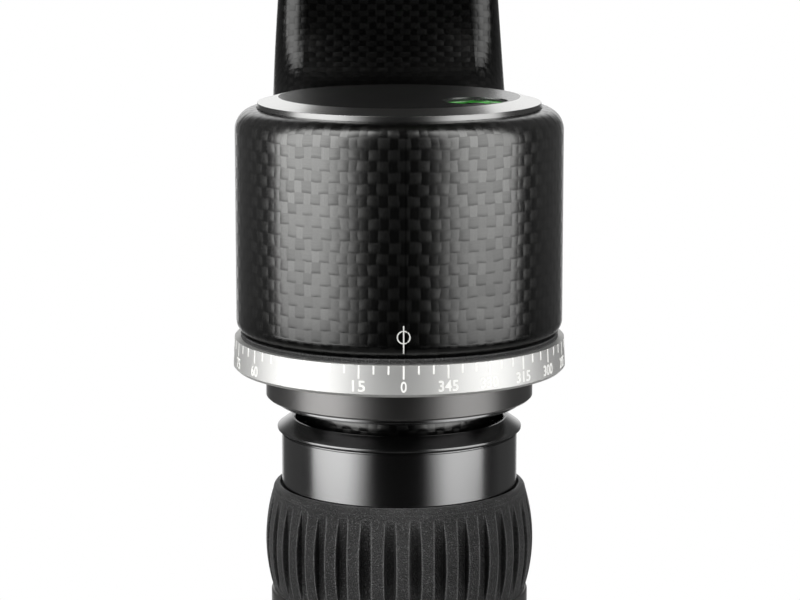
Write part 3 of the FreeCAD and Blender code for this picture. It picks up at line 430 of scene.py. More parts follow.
def woven_carbon(name, cloth):
    """Plain-woven carbon cloth under a clear satin resin.  Each tow is a flat bundle of
    bright parallel fibres, so tows that cross take the light from other sides, and the
    squares trade places as the surface turns."""
    finishes = bpy.context.scene.gimbal_finishes
    material, tree, place = new_material(name)
    across, along, upright, painted_shade = cloth(tree, place)

    # The cloth was laid by hand, so its tows wander a little.
    wander = add(tree, "TexNoise", {"Vector": place, "Scale": 1 / CLOTH_PATCH})
    stray = add(tree, "SeparateColor", {0: wander.outputs["Color"]})
    across = add(tree, "Math", {0: stray.outputs["Red"], 1: finishes.tow_stray, 2: across},
                 operation="MULTIPLY_ADD")
    along = add(tree, "Math", {0: stray.outputs["Green"], 1: finishes.tow_stray, 2: along},
                operation="MULTIPLY_ADD")
    square, warp_on_top, square_across, square_along = weave(tree, across, along, finishes)

    # Every square has its own slight shade, and fine lines along its fibres.
    chance = add(tree, "TexWhiteNoise", {"Vector": square}, noise_dimensions="3D")
    threads_up = add(tree, "CombineXYZ", {"X": across})
    threads_over = add(tree, "CombineXYZ", {"Y": along})
    threads = add(tree, "Mix", {"Factor": warp_on_top, 4: threads_over, 5: threads_up},
                  data_type="VECTOR")
    lines = add(tree, "TexNoise", {"Vector": threads, "Scale": 1 / FILAMENT, "Detail": 1.0})
    shade = add(tree, "MapRange", {"Value": chance, "To Min": 0.88, "To Max": 1.1})
    streak = add(tree, "MapRange", {"Value": lines, "From Min": 0.3, "From Max": 0.7,
                                    "To Min": 0.92, "To Max": 1.07})
    streaked = add(tree, "Math", {0: shade, 1: streak}, operation="MULTIPLY")
    # A tow that runs across throws a shadow below itself.
    lower_edge = add(tree, "MapRange", {"Value": square_along, "From Max": 0.34, "To Min": 0.62},
                     interpolation_type="SMOOTHSTEP")
    valley = add(tree, "Mix", {"Factor": warp_on_top, 2: lower_edge, 3: 1.0})
    shadowed = add(tree, "Math", {0: streaked, 1: valley}, operation="MULTIPLY")
    # The cloth's painted light and shade, and the cup's dark seam, scale the weave's colour.
    level = add(tree, "Math", {0: shadowed, 1: painted_shade}, operation="MULTIPLY")
    # Painted shade: the cross tows take the darker colour.
    tow = add(tree, "Mix", {"Factor": warp_on_top, 6: list(finishes.fibre_shade),
                            7: list(finishes.fibre)}, data_type="RGBA")
    colour = add(tree, "VectorMath", {0: tow, "Scale": level}, operation="SCALE")

    normal = add(tree, "NewGeometry").outputs["Normal"]
    sideways = add(tree, "VectorMath", {0: normal, 1: upright}, operation="CROSS_PRODUCT")
    fibres = add(tree, "Mix", {"Factor": warp_on_top, 4: sideways, 5: upright}, data_type="VECTOR")
    height = tow_height(tree, warp_on_top, square_across, square_along)
    relief = add(tree, "Bump", {"Distance": finishes.tow_crown, "Height": height})
    return surfaced(material, "BsdfPrincipled", {
        "Base Color": colour, "Metallic": 1.0, "Roughness": 0.25, "Anisotropic": 0.6,
        "Tangent": fibres, "Normal": relief, "Coat Weight": 0.4, "Coat Roughness": 0.2,
        "Coat Normal": relief})


# ---- metals, rubber, liquid
def metal(name, colour, roughness, grain, depth, spread=0.05):
    """Metal with a fine surface grain, broken edges, and a slow change of sheen over the
    surface.  Grain and depth are in millimetres."""
    material, tree, place = new_material(name)
    fine = add(tree, "TexNoise", {"Vector": place, "Scale": 1 / (grain * MM)})
    slow = add(tree, "TexNoise", {"Vector": place, "Scale": 1 / SHEEN_PATCH, "Detail": 1.0})
    sheen = add(tree, "MapRange", {"Value": slow, "From Min": 0.3, "From Max": 0.7,
                                   "To Min": roughness - spread / 2,
                                   "To Max": roughness + spread / 2})
    broken = add(tree, "Bevel", {"Radius": BROKEN_EDGE}, samples=4)
    relief = add(tree, "Bump", {"Strength": 0.4, "Distance": depth * MM, "Height": fine,
                                "Normal": broken})
    return surfaced(material, "BsdfPrincipled", {
        "Base Color": colour, "Metallic": 1.0, "Roughness": sheen, "Normal": relief})


def worn_oxide(name, colour, bare):
    """Black oxide on steel, thin enough to rub off where an edge is touched."""
    material, tree, place = new_material(name)
    fine = add(tree, "TexNoise", {"Vector": place, "Scale": 1 / GRIT})
    patches = add(tree, "TexNoise", {"Vector": place, "Scale": 1 / WEAR_PATCH})
    broken = add(tree, "Bevel", {"Radius": RUBBED_EDGE}, samples=4)
    flat = add(tree, "NewGeometry").outputs["Normal"]
    turned = add(tree, "VectorMath", {0: broken, 1: flat}, operation="DOT_PRODUCT")
    edge = add(tree, "MapRange", {"Value": turned, "From Min": 0.995, "From Max": 0.93})
    rubbed = add(tree, "MapRange", {"Value": patches, "From Min": 0.4, "From Max": 0.6})
    wear = add(tree, "Math", {0: edge, 1: rubbed}, operation="MULTIPLY")
    shade = add(tree, "Mix", {"Factor": wear, 6: colour, 7: bare}, data_type="RGBA")
    relief = add(tree, "Bump", {"Strength": 0.3, "Distance": 0.01 * MM, "Height": fine,
                                "Normal": broken})
    return surfaced(material, "BsdfPrincipled", {
        "Base Color": shade, "Metallic": 1.0, "Roughness": 0.34, "Normal": relief})


def threaded_steel(name, colour, pitch, reach):
    """Bright steel with a screw thread cut inside the reach: its flanks glint in rings."""
    material, tree, place = new_material(name)
    axes = add(tree, "SeparateXYZ", {0: place})
    plan = add(tree, "CombineXYZ", {"X": axes.outputs["X"], "Y": axes.outputs["Y"]})
    radius = add(tree, "VectorMath", {0: plan}, operation="LENGTH")
    inside = add(tree, "Math", {0: radius, 1: reach}, operation="LESS_THAN")
    turn = add(tree, "Math", {0: axes.outputs["Y"], 1: axes.outputs["X"]}, operation="ARCTAN2")
    turns = add(tree, "Math", {0: turn, 1: 1 / (2 * math.pi)}, operation="MULTIPLY")
    climb = add(tree, "Math", {0: axes.outputs["Z"], 1: 1 / pitch, 2: turns},
                operation="MULTIPLY_ADD")
    flank = add(tree, "Math", {0: climb, 1: 0.5}, operation="PINGPONG")
    thread = add(tree, "Math", {0: flank, 1: inside}, operation="MULTIPLY")
    relief = add(tree, "Bump", {"Distance": pitch, "Height": thread})
    return surfaced(material, "BsdfPrincipled", {
        "Base Color": colour, "Metallic": 1.0, "Roughness": 0.25, "Normal": relief})


def cover_plate(name, colour, axis):
    """Dark anodised cover plate: its flat face is blasted, and the bevel and the rim,
    cut afterwards, are smooth.  The axis is square to the flat face."""
    material, tree, place = new_material(name)
    outwards = add(tree, "TexCoord").outputs["Normal"]
    facing = add(tree, "VectorMath", {0: outwards, 1: axis}, operation="DOT_PRODUCT")
    flatness = add(tree, "Math", {0: facing}, operation="ABSOLUTE")
    flat = add(tree, "Math", {0: flatness, 1: 0.99}, operation="GREATER_THAN")
    fine = add(tree, "TexNoise", {"Vector": place, "Scale": 1 / GRIT})
    bevel = add(tree, "MapRange", {"Value": flatness, "From Max": 0.6, "To Min": 1.0,
                                   "To Max": 3.2})
    shade = add(tree, "Mix", {"Factor": flat, 2: bevel, 3: 1.3})
    shaded = add(tree, "VectorMath", {0: colour[:3], "Scale": shade}, operation="SCALE")
    depth = add(tree, "MapRange", {"Value": flat, "To Min": 0.05, "To Max": 0.5})
    broken = add(tree, "Bevel", {"Radius": BROKEN_EDGE}, samples=4)
    relief = add(tree, "Bump", {"Strength": depth, "Distance": 0.02 * MM, "Height": fine,
                                "Normal": broken})
    return surfaced(material, "BsdfPrincipled", {
        "Base Color": shaded, "Metallic": 1.0, "Roughness": 0.27, "Normal": relief})


def blasted_moulding(name, colour):
    """Rubber or plastic with the fine pebble of a blasted mould, and matt.  Dust changes its tone
    at random; its rounded outer edges and some pebbles are painted lighter, as painted highlights
    and glints, and its grooves darker, as painted shade."""
    material, tree, place = new_material(name)
    pebble = add(tree, "TexNoise", {"Vector": place, "Scale": 1 / GRIT, "Detail": 0.0})
    dust = add(tree, "TexNoise", {"Vector": place, "Scale": 1 / DUST_PATCH, "Detail": 3.0})
    tone = add(tree, "MapRange", {"Value": dust, "From Min": 0.3, "From Max": 0.7, "To Min": 0.85,
                                  "To Max": 1.25})
    # Painted shade: the grooves are darkened where their sides close in.
    shelter = add(tree, "AmbientOcclusion", {"Distance": GROOVE_REACH}, samples=6, only_local=True)
    groove_painted_shade = add(tree, "MapRange", {"Value": shelter.outputs["AO"], "From Min": 0.5,
                                      "From Max": 0.92, "To Min": 0.06})
    level = add(tree, "Math", {0: tone, 1: groove_painted_shade}, operation="MULTIPLY")
    # Painted highlights: the rounded outer edges are painted lighter.
    rounded = add(tree, "Bevel", {"Radius": MOULDED_EDGE}, samples=6)
    flat = add(tree, "NewGeometry").outputs["True Normal"]
    turned = add(tree, "VectorMath", {0: rounded, 1: flat}, operation="DOT_PRODUCT")
    edge = add(tree, "MapRange", {"Value": turned, "From Min": 0.998, "From Max": 0.95,
                                  "To Max": 6.0})
    # Painted glints on the pebble.
    painted_glint = add(tree, "MapRange", {"Value": pebble, "From Min": 0.58, "From Max": 0.75,
                                   "To Max": 3.5})
    painted_highlight = add(tree, "Math", {0: edge, 1: painted_glint}, operation="ADD")
    lift = add(tree, "Math", {0: painted_highlight, 1: 1.0}, operation="ADD")
    dust_and_painted_light = add(tree, "Math", {0: lift, 1: level}, operation="MULTIPLY")
    shaded = add(tree, "VectorMath", {0: colour[:3], "Scale": dust_and_painted_light}, operation="SCALE")
    relief = add(tree, "Bump", {"Distance": PEBBLE_DEPTH, "Height": pebble,
                                "Normal": rounded})
    return surfaced(material, "BsdfPrincipled", {
        "Base Color": shaded, "Roughness": 0.42, "Specular IOR Level": 0.4, "Normal": relief})


def screen_print(name, colour, glow):
    """Baked printing ink: matt, slightly uneven where it lies.  It glows by the given amount, as
    painted light.
    """
    material, tree, place = new_material(name)
    grain = add(tree, "TexNoise", {"Vector": place, "Scale": 1 / INK_GRAIN})
    tone = add(tree, "MapRange", {"Value": grain, "To Min": 0.92, "To Max": 1.04})
    shaded = add(tree, "VectorMath", {0: colour[:3], "Scale": tone}, operation="SCALE")
    return surfaced(material, "BsdfPrincipled", {
        "Base Color": shaded, "Roughness": 0.55, "Emission Color": shaded,
        "Emission Strength": glow})


def tinted_liquid(name, colour):
    """Fluorescent spirit of a bull's-eye level: it glows as painted light, brighter in patches as
    painted highlights.
    """
    material, tree, place = new_material(name)
    # Painted light: the glow is brighter in patches, as painted highlights.
    painted_glow_drift = add(tree, "TexNoise", {"Vector": place, "Scale": 1 / PAINTED_GLOW_PATCH, "Detail": 1.0})
    tone = add(tree, "MapRange", {"Value": painted_glow_drift, "From Min": 0.35, "From Max": 0.65, "To Min": 0.5,
                                  "To Max": 1.7})
    shaded = add(tree, "VectorMath", {0: colour[:3], "Scale": tone}, operation="SCALE")
    return surfaced(material, "BsdfPrincipled", {
        "Base Color": shaded, "Roughness": 0.1, "IOR": 1.36, "Emission Color": shaded,
        "Emission Strength": 0.9})


def clear_acrylic(name, tint):
    """Clear moulded acrylic lens: glossy and see-through, with faint ripples."""
    material, tree, place = new_material(name)
    ripple = add(tree, "TexNoise", {"Vector": place, "Scale": 1 / ACRYLIC_RIPPLE})
    relief = add(tree, "Bump", {"Strength": 0.1, "Distance": 0.02 * MM, "Height": ripple})
    return surfaced(material, "BsdfPrincipled", {
        "Base Color": tint, "Roughness": 0.02, "IOR": 1.49, "Transmission Weight": 1.0,
        "Normal": relief})


# ---- dial marks
def wrapped(bm, radius_at, turn=0.0):
    """Wrap flat work, x across, y up and z outwards, round the pan axis."""
    for vert in bm.verts:
        across, height, rise = vert.co
        radius = radius_at(height)
        angle = across / radius + turn
        reach = radius + rise
        vert.co = (reach * math.sin(angle), -reach * math.cos(angle), height)


def dial_radius_at(height):
    """Outside of a dial ring, which narrows a little upwards."""
    share = (height - DIAL_LOW.z) / (DIAL_HIGH.z - DIAL_LOW.z)
    return DIAL_HIGH.x - DIAL_DRAFT * share


def housing_radius_at(height):
    """Outside of a housing, which is rounded at its foot."""
    below = max(0.0, CUP_FOOT + HOUSING_FOOT_ROUND - height)
    across = math.sqrt(max(0.0, HOUSING_FOOT_ROUND ** 2 - below ** 2))
    return HOUSING_RADIUS - HOUSING_FOOT_ROUND + across


def dial_ticks(marks):
    """Degree marks from the dial's upper edge."""
    ticks = bmesh.new()
    top = DIAL_HIGH.z - marks.edge_gap
    for degrees in range(0, 360, TICK_DEGREES):
        length = marks.tick_short if degrees % NUMBER_DEGREES else marks.tick_long
        size = Matrix.Diagonal((marks.tick_width, length, 2 * marks.print_rise, 1.0))
        place = Matrix.Translation((0, top - length / 2, 0))
        tick = bmesh.new()
        bmesh.ops.create_cube(tick, size=1.0, matrix=place @ size)
        wrapped(tick, dial_radius_at, math.radians(degrees))
        join(ticks, tick)
    return ticks


def flat_number(text, height, width, rise):
    """A number as flat work, centred across, with its foot on y = 0."""
    curve = bpy.data.curves.new("number", "FONT")
    curve.body = text
    curve.align_x = "CENTER"
    curve.size = 1.0
    curve.offset = DIGIT_WEIGHT
    curve.extrude = 0.5
    curve.resolution_u = 4
    holder = bpy.data.objects.new("number", curve)
    mesh = bpy.data.meshes.new_from_object(holder)
    number = bmesh.new()
    number.from_mesh(mesh)
    bpy.data.objects.remove(holder)
    bpy.data.curves.remove(curve)
    bpy.data.meshes.remove(mesh)
    lows = [min(vert.co[axis] for vert in number.verts) for axis in range(3)]
    highs = [max(vert.co[axis] for vert in number.verts) for axis in range(3)]
    wanted = (width * (len(text) - DIGIT_GAP), height, 2 * rise)
    scale = [wanted[axis] / (highs[axis] - lows[axis]) for axis in range(3)]
    centre = Vector(((lows[0] + highs[0]) / 2, lows[1], 0))
    bmesh.ops.translate(number, verts=number.verts, vec=-centre)
    bmesh.ops.scale(number, verts=number.verts, vec=scale)
    return number


def dial_numbers(marks):
    """The numbers of degrees, which grow to the left of the zero."""
    numbers = bmesh.new()
    foot = DIAL_HIGH.z - marks.edge_gap - marks.tick_long - marks.digit_gap - marks.digit_height
    for degrees in range(0, 360, NUMBER_DEGREES):
        number = flat_number(str(degrees), marks.digit_height, marks.digit_width, marks.print_rise)
        bmesh.ops.translate(number, verts=number.verts, vec=(0, foot, 0))
        wrapped(number, dial_radius_at, math.radians(-degrees))
        join(numbers, number)
    return numbers


def index_mark(marks):
    """Circle with an upright line, on the housing above the dial's zero."""
    foot = CUP_FOOT + INDEX_LIFT
    ring_height = foot + marks.index_height * RING_PLACE
    ring_stroke = marks.index_width * RING_STROKE
    line = bmesh.new()
    bmesh.ops.create_grid(line, x_segments=1, y_segments=16, size=0.5)
    bmesh.ops.scale(line, verts=line.verts, vec=(marks.index_width, marks.index_height, 1))
    bmesh.ops.translate(line, verts=line.verts,
                        vec=(0, foot + marks.index_height / 2, marks.print_rise))
    ring = bmesh.new()
    bmesh.ops.create_circle(ring, segments=40, radius=marks.index_ring / 2, cap_ends=True)
    bmesh.ops.inset_individual(ring, faces=list(ring.faces), thickness=ring_stroke)
    middle = max(ring.faces, key=lambda face: len(face.verts))
    bmesh.ops.delete(ring, geom=[middle], context="FACES")
    bmesh.ops.translate(ring, verts=ring.verts, vec=(0, ring_height, marks.print_rise))
    join(line, ring)
    wrapped(line, housing_radius_at)
    return line


# ---- screws
def drawn(bm, edges, radius, height):
    """Extrude a loop of edges to another radius and height; returns the new loop."""
    grown = bmesh.ops.extrude_edge_only(bm, edges=edges)["geom"]
    verts = [item for item in grown if isinstance(item, bmesh.types.BMVert)]
    share = radius / max(math.hypot(vert.co.x, vert.co.y) for vert in verts)
    for vert in verts:
        vert.co = (vert.co.x * share, vert.co.y * share, height)
    return [item for item in grown if isinstance(item, bmesh.types.BMEdge)]


def socket_screw(profile, key_width, key_depth):
    """Screw with a hexagon socket, head down on z = 0 with its shank upwards.  The
    profile is the list of its outside radii and heights, from the head's face on."""
    bm = bmesh.new()
    key_reach = key_width / math.sqrt(3)
    bmesh.ops.create_circle(bm, segments=6, radius=key_reach)
    bmesh.ops.subdivide_edges(bm, edges=bm.edges[:], cuts=3)
    key = bm.edges[:]
    bmesh.ops.create_circle(bm, segments=24, radius=profile[0][0])
    rim = [edge for edge in bm.edges if edge not in key]
    bmesh.ops.bridge_loops(bm, edges=key + rim)
    loop = rim
    for radius, height in profile[1:]:
        loop = drawn(bm, loop, radius, height)
    bmesh.ops.contextual_create(bm, geom=loop)
    floor = drawn(bm, key, key_reach, key_depth)
    bmesh.ops.contextual_create(bm, geom=floor)
    bmesh.ops.recalc_face_normals(bm, faces=bm.faces)
    return bm


def cap_screw_profile(head, chamfer, seat, shank, length):
    """Outside of a cap screw: its radii and heights from the head's face on."""
    return [(head - chamfer, 0), (head, chamfer), (head, seat), (shank, seat), (shank, length)]


def screw_set(places, profile, key_width, key_depth):
    """The same screw at several places, in one piece."""
    screws = bmesh.new()
    for place in places:
        screw = socket_screw(profile, key_width, key_depth)
        bmesh.ops.transform(screw, matrix=place, verts=screw.verts)
        join(screws, screw)
    return screws


# ---- studio
def softbox(name, inner, full, outer, radiance):
    """Upright softbox between the azimuths inner and outer, positive to the camera's
    right.  Its light grows from nothing at inner to full strength at full."""
    inner, full, outer = (math.radians(azimuth) for azimuth in (inner, full, outer))
    middle = (inner + outer) / 2
    half_width = math.tan(abs(outer - inner) / 2)
    lamp = bpy.data.lights.new(name, "AREA")
    lamp.shape = "RECTANGLE"
    lamp.size = 2 * half_width * LAMP_REACH
    lamp.size_y = LAMP_HIGH - LAMP_LOW
    lamp.energy = radiance * math.pi * lamp.size * lamp.size_y

    tree = emptied(lamp)
    face = add(tree, "NewGeometry").outputs["Parametric"]
    across = add(tree, "SeparateXYZ", {0: face})
    from_share, to_share = (0.5 + 0.5 * math.tan(azimuth - middle) / half_width
                            for azimuth in (inner, full))
    fade = add(tree, "MapRange", {"Value": across, "From Min": from_share, "From Max": to_share},
               interpolation_type="SMOOTHSTEP")
    glow = add(tree, "Emission", {"Strength": fade})
    add(tree, "OutputLight", {0: glow})

    holder = placed(name, lamp)
    holder.location = (LAMP_REACH * math.sin(middle), -LAMP_REACH * math.cos(middle),
                       (LAMP_LOW + LAMP_HIGH) / 2)
    holder.rotation_euler = (math.radians(90), 0, middle)


def studio_world(stage):
    """White to the camera; gloss and glass see a white backdrop behind the head and a
    dark room elsewhere; matt surfaces get an even light."""
    world = bpy.data.worlds.new("studio")
    bpy.context.scene.world = world
    tree = emptied(world)
    path = add(tree, "LightPath")
    direction = add(tree, "TexCoord").outputs["Generated"]
    axes = add(tree, "SeparateXYZ", {0: direction})
    sideways = add(tree, "Math", {0: axes.outputs["X"]}, operation="ABSOLUTE")
    turn = add(tree, "Math", {0: sideways, 1: axes.outputs["Y"]}, operation="ARCTAN2")
    width = add(tree, "MapRange", {"Value": turn, "From Min": BACKDROP_EDGE,
                                   "From Max": BACKDROP_FULL}, interpolation_type="SMOOTHSTEP")
    height = add(tree, "MapRange", {"Value": axes.outputs["Z"], "From Min": BACKDROP_TOP_EDGE,
                                    "From Max": BACKDROP_TOP_FULL},
                 interpolation_type="SMOOTHSTEP")
    behind = add(tree, "Math", {0: width, 1: height}, operation="MULTIPLY")
    shiny = add(tree, "Math", {0: path.outputs["Is Glossy Ray"],
                               1: path.outputs["Is Transmission Ray"]}, operation="MAXIMUM")
    # Light that spills past the backdrop's sides falls off towards the camera.
    spill = add(tree, "MapRange", {"Value": turn, "From Min": SPILL_EDGE, "From Max": SPILL_FULL,
                                   "To Min": stage.studio, "To Max": stage.spill})
    room = add(tree, "Mix", {"Factor": behind, 2: spill, 3: 1.0})
    strength = add(tree, "Mix", {"Factor": shiny, 2: stage.ambient, 3: room})
    seen = add(tree, "Mix", {"Factor": path.outputs["Is Camera Ray"], 2: strength, 3: 1.0})
    light = add(tree, "Background", {"Color": (1, 1, 1, 1), "Strength": seen})
    add(tree, "OutputWorld", {0: light})


def white_floor(stage):
    """Pale floor far below, as under a tripod."""
    material, tree, place = new_material("white_floor_paper")
    path = add(tree, "LightPath")
    fibre = add(tree, "TexNoise", {"Vector": place, "Scale": 1 / PAPER_FIBRE})
    relief = add(tree, "Bump", {"Strength": 0.1, "Distance": 0.1 * MM, "Height": fibre})
    paper = add(tree, "BsdfDiffuse", {"Color": linear("#f4f4f2"), "Normal": relief})
    glow = add(tree, "Emission")
    surfaced(material, "MixShader", {0: path.outputs["Is Camera Ray"], 1: paper, 2: glow})
    bm = bmesh.new()
    bmesh.ops.create_grid(bm, x_segments=1, y_segments=1, size=FLOOR_REACH)
    bmesh.ops.translate(bm, verts=bm.verts, vec=(0, 0, -stage.floor_drop))
    floor = meshed(bm, "floor", material)


# ---- operators
class GIMBAL_OT_carbon(bpy.types.Operator):
    """Give the arm and the neck their woven carbon finish"""
    bl_idname = "gimbal.carbon"
    bl_label = "Carbon Parts"

    def execute(self, context):
        dress(woven_carbon("woven_carbon_moulding", moulding_cloth), "carbon_arm")
        dress(woven_carbon("woven_carbon_tube", column_cloth), "neck_tube")
        return {"FINISHED"}


class GIMBAL_OT_anodised(bpy.types.Operator):
    """Give the machined aluminium parts their anodised finishes"""
    bl_idname = "gimbal.anodised"
    bl_label = "Anodised Parts"

    def execute(self, context):
        finishes = context.scene.gimbal_finishes
        # Blasted before anodising: broad soft highlights on black.
        satin = metal("satin_black_anodised_aluminium", finishes.satin_black,
                      roughness=0.34, grain=0.22, depth=0.03)
        dress(satin, "base_plate", "pan_flange", "collar_foot_ring", "tilt_flange", "swing_plate",
              "platform_bracket", "clamp_base", "moving_jaw")
        # Turned and polished before anodising: a black mirror with crisp bands.
        bright = metal("bright_black_anodised_aluminium", finishes.bright_black,
                       roughness=0.19, grain=0.5, depth=0.002, spread=0.03)
        dress(bright, "collar_barrel", "collar_top_ring", "neck_ring", "clamp_knob_core",
              "height_knob_core", "tilt_knob_core")
        # Cover plates are blasted finer and dyed dark grey.
        dress(cover_plate("cover_plate_level", finishes.graphite, (0, 0, 1)), "cap_plate")
        dress(cover_plate("cover_plate_upright", finishes.graphite, (0, 1, 0)), "hub_cap",
              "tilt_knob_cap")
        # The graduated rings are blasted and clear anodised: even, pale and soft.
        silver = metal("satin_clear_anodised_aluminium", finishes.silver,
                       roughness=0.56, grain=0.2, depth=0.02)
        dress(silver, "dial_ring", "tilt_dial_ring")
        return {"FINISHED"}


class GIMBAL_OT_marks(bpy.types.Operator):
    """Print the degree marks, the numbers and the index marks"""
    bl_idname = "gimbal.marks"
    bl_label = "Dial Marks"

    def execute(self, context):
        marks = context.scene.gimbal_marks
        print_white = context.scene.gimbal_finishes.print_white
        # The marks' ink glows a little as painted light; the index marks' ink doesn't.
        ink = screen_print("white_baked_print", print_white, 0.35)
        faint = screen_print("white_index_print", print_white, 0.0)
        finished(dial_ticks(marks), "pan_dial_ticks", ink, "base")
        finished(dial_numbers(marks), "pan_dial_numbers", ink, "base")
        finished(index_mark(marks), "pan_index", faint, "pan_head")
        finished(dial_ticks(marks), "tilt_dial_ticks", ink, "cradle", ON_TILT_AXIS)
        finished(dial_numbers(marks), "tilt_dial_numbers", ink, "cradle", ON_TILT_AXIS)
        finished(index_mark(marks), "tilt_index", faint, "pan_head", ON_TILT_AXIS)
        return {"FINISHED"}


class GIMBAL_OT_grips(bpy.types.Operator):
    """Give the ribbed grips and the seals their rubber"""
    bl_idname = "gimbal.grips"
    bl_label = "Rubber Parts"

    def execute(self, context):
        finishes = context.scene.gimbal_finishes
        grip = blasted_moulding("moulded_grip_rubber", finishes.rubber)
        dress(grip, "collar_grip", "tilt_knob_grip", "clamp_knob_grip", "height_knob_grip")
        seal = blasted_moulding("seal_rubber", linear("#202020"))
        dress(seal, "seal_ring", "hub_seal_ring")
        return {"FINISHED"}


class GIMBAL_OT_inside(bpy.types.Operator):
    """Finish the bearings, spindles, brakes and screws"""
    bl_idname = "gimbal.inside"
    bl_label = "Inner Parts"

    def execute(self, context):
        steel_grey = linear("#b9b9b8")
        # Ground bearing and shaft steel: bright, with a very fine grain.
        steel = metal("ground_steel", steel_grey, roughness=0.25, grain=0.3, depth=0.004)
        dress(steel, "collar_circlip", "pan_bearing_outer_races", "pan_spindle", "spindle_disc",
              "pan_bearing_inner_races", "tilt_bearing_outer_races", "tilt_shaft", "tilt_disc",
              "tilt_bearing_inner_races", "jaw_guide_pins", "clamp_knob_washer", "height_tee_nut")
        # 3/8"-16 UNC: sixteen turns to the inch.
        socket = threaded_steel("threaded_steel", steel_grey, pitch=25.4 / 16 * MM, reach=5.2 * MM)
        dress(socket, "tripod_bush")
        # Black oxide on screws: a thin blue-black skin over steel.
        oxide = metal("black_oxide_steel", linear("#3a3b3f"), roughness=0.32, grain=0.2,
                      depth=0.006)
        dress(oxide, "flange_screws", "spindle_bolt", "spindle_screws", "tilt_bolt")
        # Turned and left bare inside the housings.
        bare = metal("bare_turned_aluminium", linear("#c2c2c4"), roughness=0.3, grain=0.4,
                     depth=0.006)
        dress(bare, "core_column", "cup_core", "hub_core")
        # Acetal friction parts: waxy and off-white.
        acetal = blasted_moulding("moulded_acetal", linear("#d8d4c8"))
        dress(acetal, "pan_brake_ring", "tilt_brake_pad")
        return {"FINISHED"}


class GIMBAL_OT_screws(bpy.types.Operator):
    """Make the outside screws with their chamfers and hexagon sockets"""
    bl_idname = "gimbal.screws"
    bl_label = "Screws"

    def execute(self, context):
        sizes = context.scene.gimbal_screws
        # Black oxide: a thin blue-black skin, rubbed to bare steel on its edges.
        oxide = worn_oxide("black_oxide_cap_screws", linear("#34353a"), linear("#8b8c8f"))
        small = sizes.small_head / 2
        small_shank = sizes.small_shank / 2
        small_key_depth = sizes.small_seat * SMALL_KEY_SHARE

        low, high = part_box("swing_screws")
        circle = high.x - small
        places = [Matrix.Translation((circle * math.cos(turn), low.y,
                                      TILT_HEIGHT + circle * math.sin(turn))) @ ALONG_Y
                  for turn in (math.radians(60 * step) for step in range(6))]
        profile = cap_screw_profile(small, sizes.chamfer, sizes.small_seat, small_shank,
                                    high.y - low.y)
        screws = screw_set(places, profile, sizes.small_key, small_key_depth)
        piece = finished(screws, "swing_plate_screws", oxide, "cradle")
        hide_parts("swing_screws")

        low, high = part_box("foot_screws")
        circle = -low.x - small
        places = [Matrix.Rotation(math.radians(60 + 120 * step), 4, "Z")
                  @ Matrix.Translation((circle, 0, low.z)) for step in range(3)]
        countersunk = [(small, 0), (small_shank, sizes.small_seat), (small_shank, high.z - low.z)]
        screws = screw_set(places, countersunk, sizes.small_key, small_key_depth)
        piece = finished(screws, "base_plate_screws", oxide, "base")
        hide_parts("foot_screws")

        low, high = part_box("clamp_bolts")
        large = sizes.large_head / 2
        places = [Matrix.Translation((x, y, low.z)) for x in (low.x + large, high.x - large)
                  for y in (low.y + large, high.y - large)]
        profile = cap_screw_profile(large, sizes.chamfer, sizes.large_seat, sizes.large_shank / 2,
                                    high.z - low.z)
        screws = screw_set(places, profile, sizes.large_key,
                           sizes.large_seat * LARGE_KEY_SHARE)
        piece = finished(screws, "clamp_screws", oxide, "carriage")
        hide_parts("clamp_bolts")
        return {"FINISHED"}


class GIMBAL_OT_level(bpy.types.Operator):
    """Finish the bull's-eye level"""
    bl_idname = "gimbal.level"
    bl_label = "Level"

    def execute(self, context):
        finishes = context.scene.gimbal_finishes
        dress(blasted_moulding("moulded_black_abs", linear("#1c1c1c")), "level_housing")
        dress(tinted_liquid("tinted_level_spirit", finishes.liquid), "level_fluid")
        dress(clear_acrylic("level_air", linear("#eaf7e6")), "level_bubble")
        dress(clear_acrylic("clear_acrylic", linear("#f4faf2")), "level_glass")
        return {"FINISHED"}


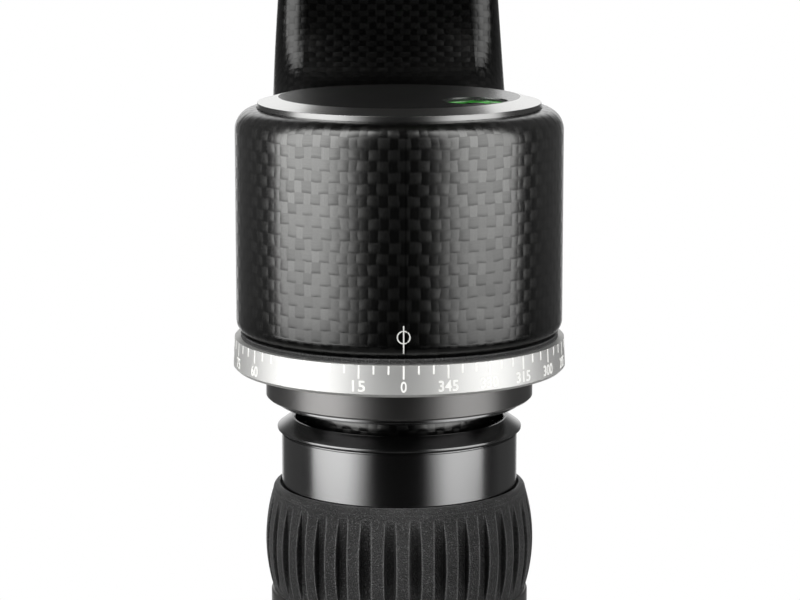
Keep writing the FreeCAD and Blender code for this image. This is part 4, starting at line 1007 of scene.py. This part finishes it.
class GIMBAL_OT_stage(bpy.types.Operator):
    """Set up the floor, the lamps, the world and the camera"""
    bl_idname = "gimbal.stage"
    bl_label = "Studio"

    def execute(self, context):
        stage = context.scene.gimbal_stage
        white_floor(stage)
        studio_world(stage)
        softbox("softbox_left", inner=-24, full=-57, outer=-94, radiance=stage.radiance)
        softbox("softbox_right", inner=20, full=50, outer=86,
                radiance=stage.radiance * stage.balance)
        camera = bpy.data.cameras.new("camera")
        camera.lens = stage.lens
        camera.clip_start = 0.01
        holder = placed("camera", camera)
        holder.location = (-stage.distance * math.sin(stage.swing),
                           -stage.distance * math.cos(stage.swing), stage.height)
        holder.rotation_euler = (math.radians(90) - stage.pitch, 0, -stage.swing - stage.aim)
        context.scene.camera = holder
        context.scene.view_settings.view_transform = "Standard"
        return {"FINISHED"}


class GIMBAL_PT_panel(bpy.types.Panel):
    """Sizes, colours and steps of the gimbal head"""
    bl_idname = "GIMBAL_PT_panel"
    bl_label = "Gimbal Head"
    bl_space_type = "VIEW_3D"
    bl_region_type = "UI"
    bl_category = "Gimbal Head"

    def draw(self, context):
        layout = self.layout
        for group in SETTINGS:
            settings = getattr(context.scene, group)
            box = layout.box()
            for name in settings.__annotations__:
                box.prop(settings, name)
        for operator in OPERATORS:
            layout.operator(operator.bl_idname)


OPERATORS = (GIMBAL_OT_carbon, GIMBAL_OT_anodised, GIMBAL_OT_marks, GIMBAL_OT_grips,
             GIMBAL_OT_inside, GIMBAL_OT_screws, GIMBAL_OT_level, GIMBAL_OT_stage)
SETTINGS = {"gimbal_finishes": GimbalFinishes, "gimbal_marks": GimbalMarks,
            "gimbal_screws": GimbalScrews, "gimbal_stage": GimbalStage}
CLASSES = (*SETTINGS.values(), *OPERATORS, GIMBAL_PT_panel)


def register():
    for cls in CLASSES:
        bpy.utils.register_class(cls)
    for name, group in SETTINGS.items():
        setattr(bpy.types.Scene, name, PointerProperty(type=group))


def unregister():
    for name in SETTINGS:
        delattr(bpy.types.Scene, name)
    for cls in reversed(CLASSES):
        bpy.utils.unregister_class(cls)


def main():
    register()
    for operator in OPERATORS:
        group, name = operator.bl_idname.split(".")
        getattr(getattr(bpy.ops, group), name)()


if __name__ == "__main__":
    main()
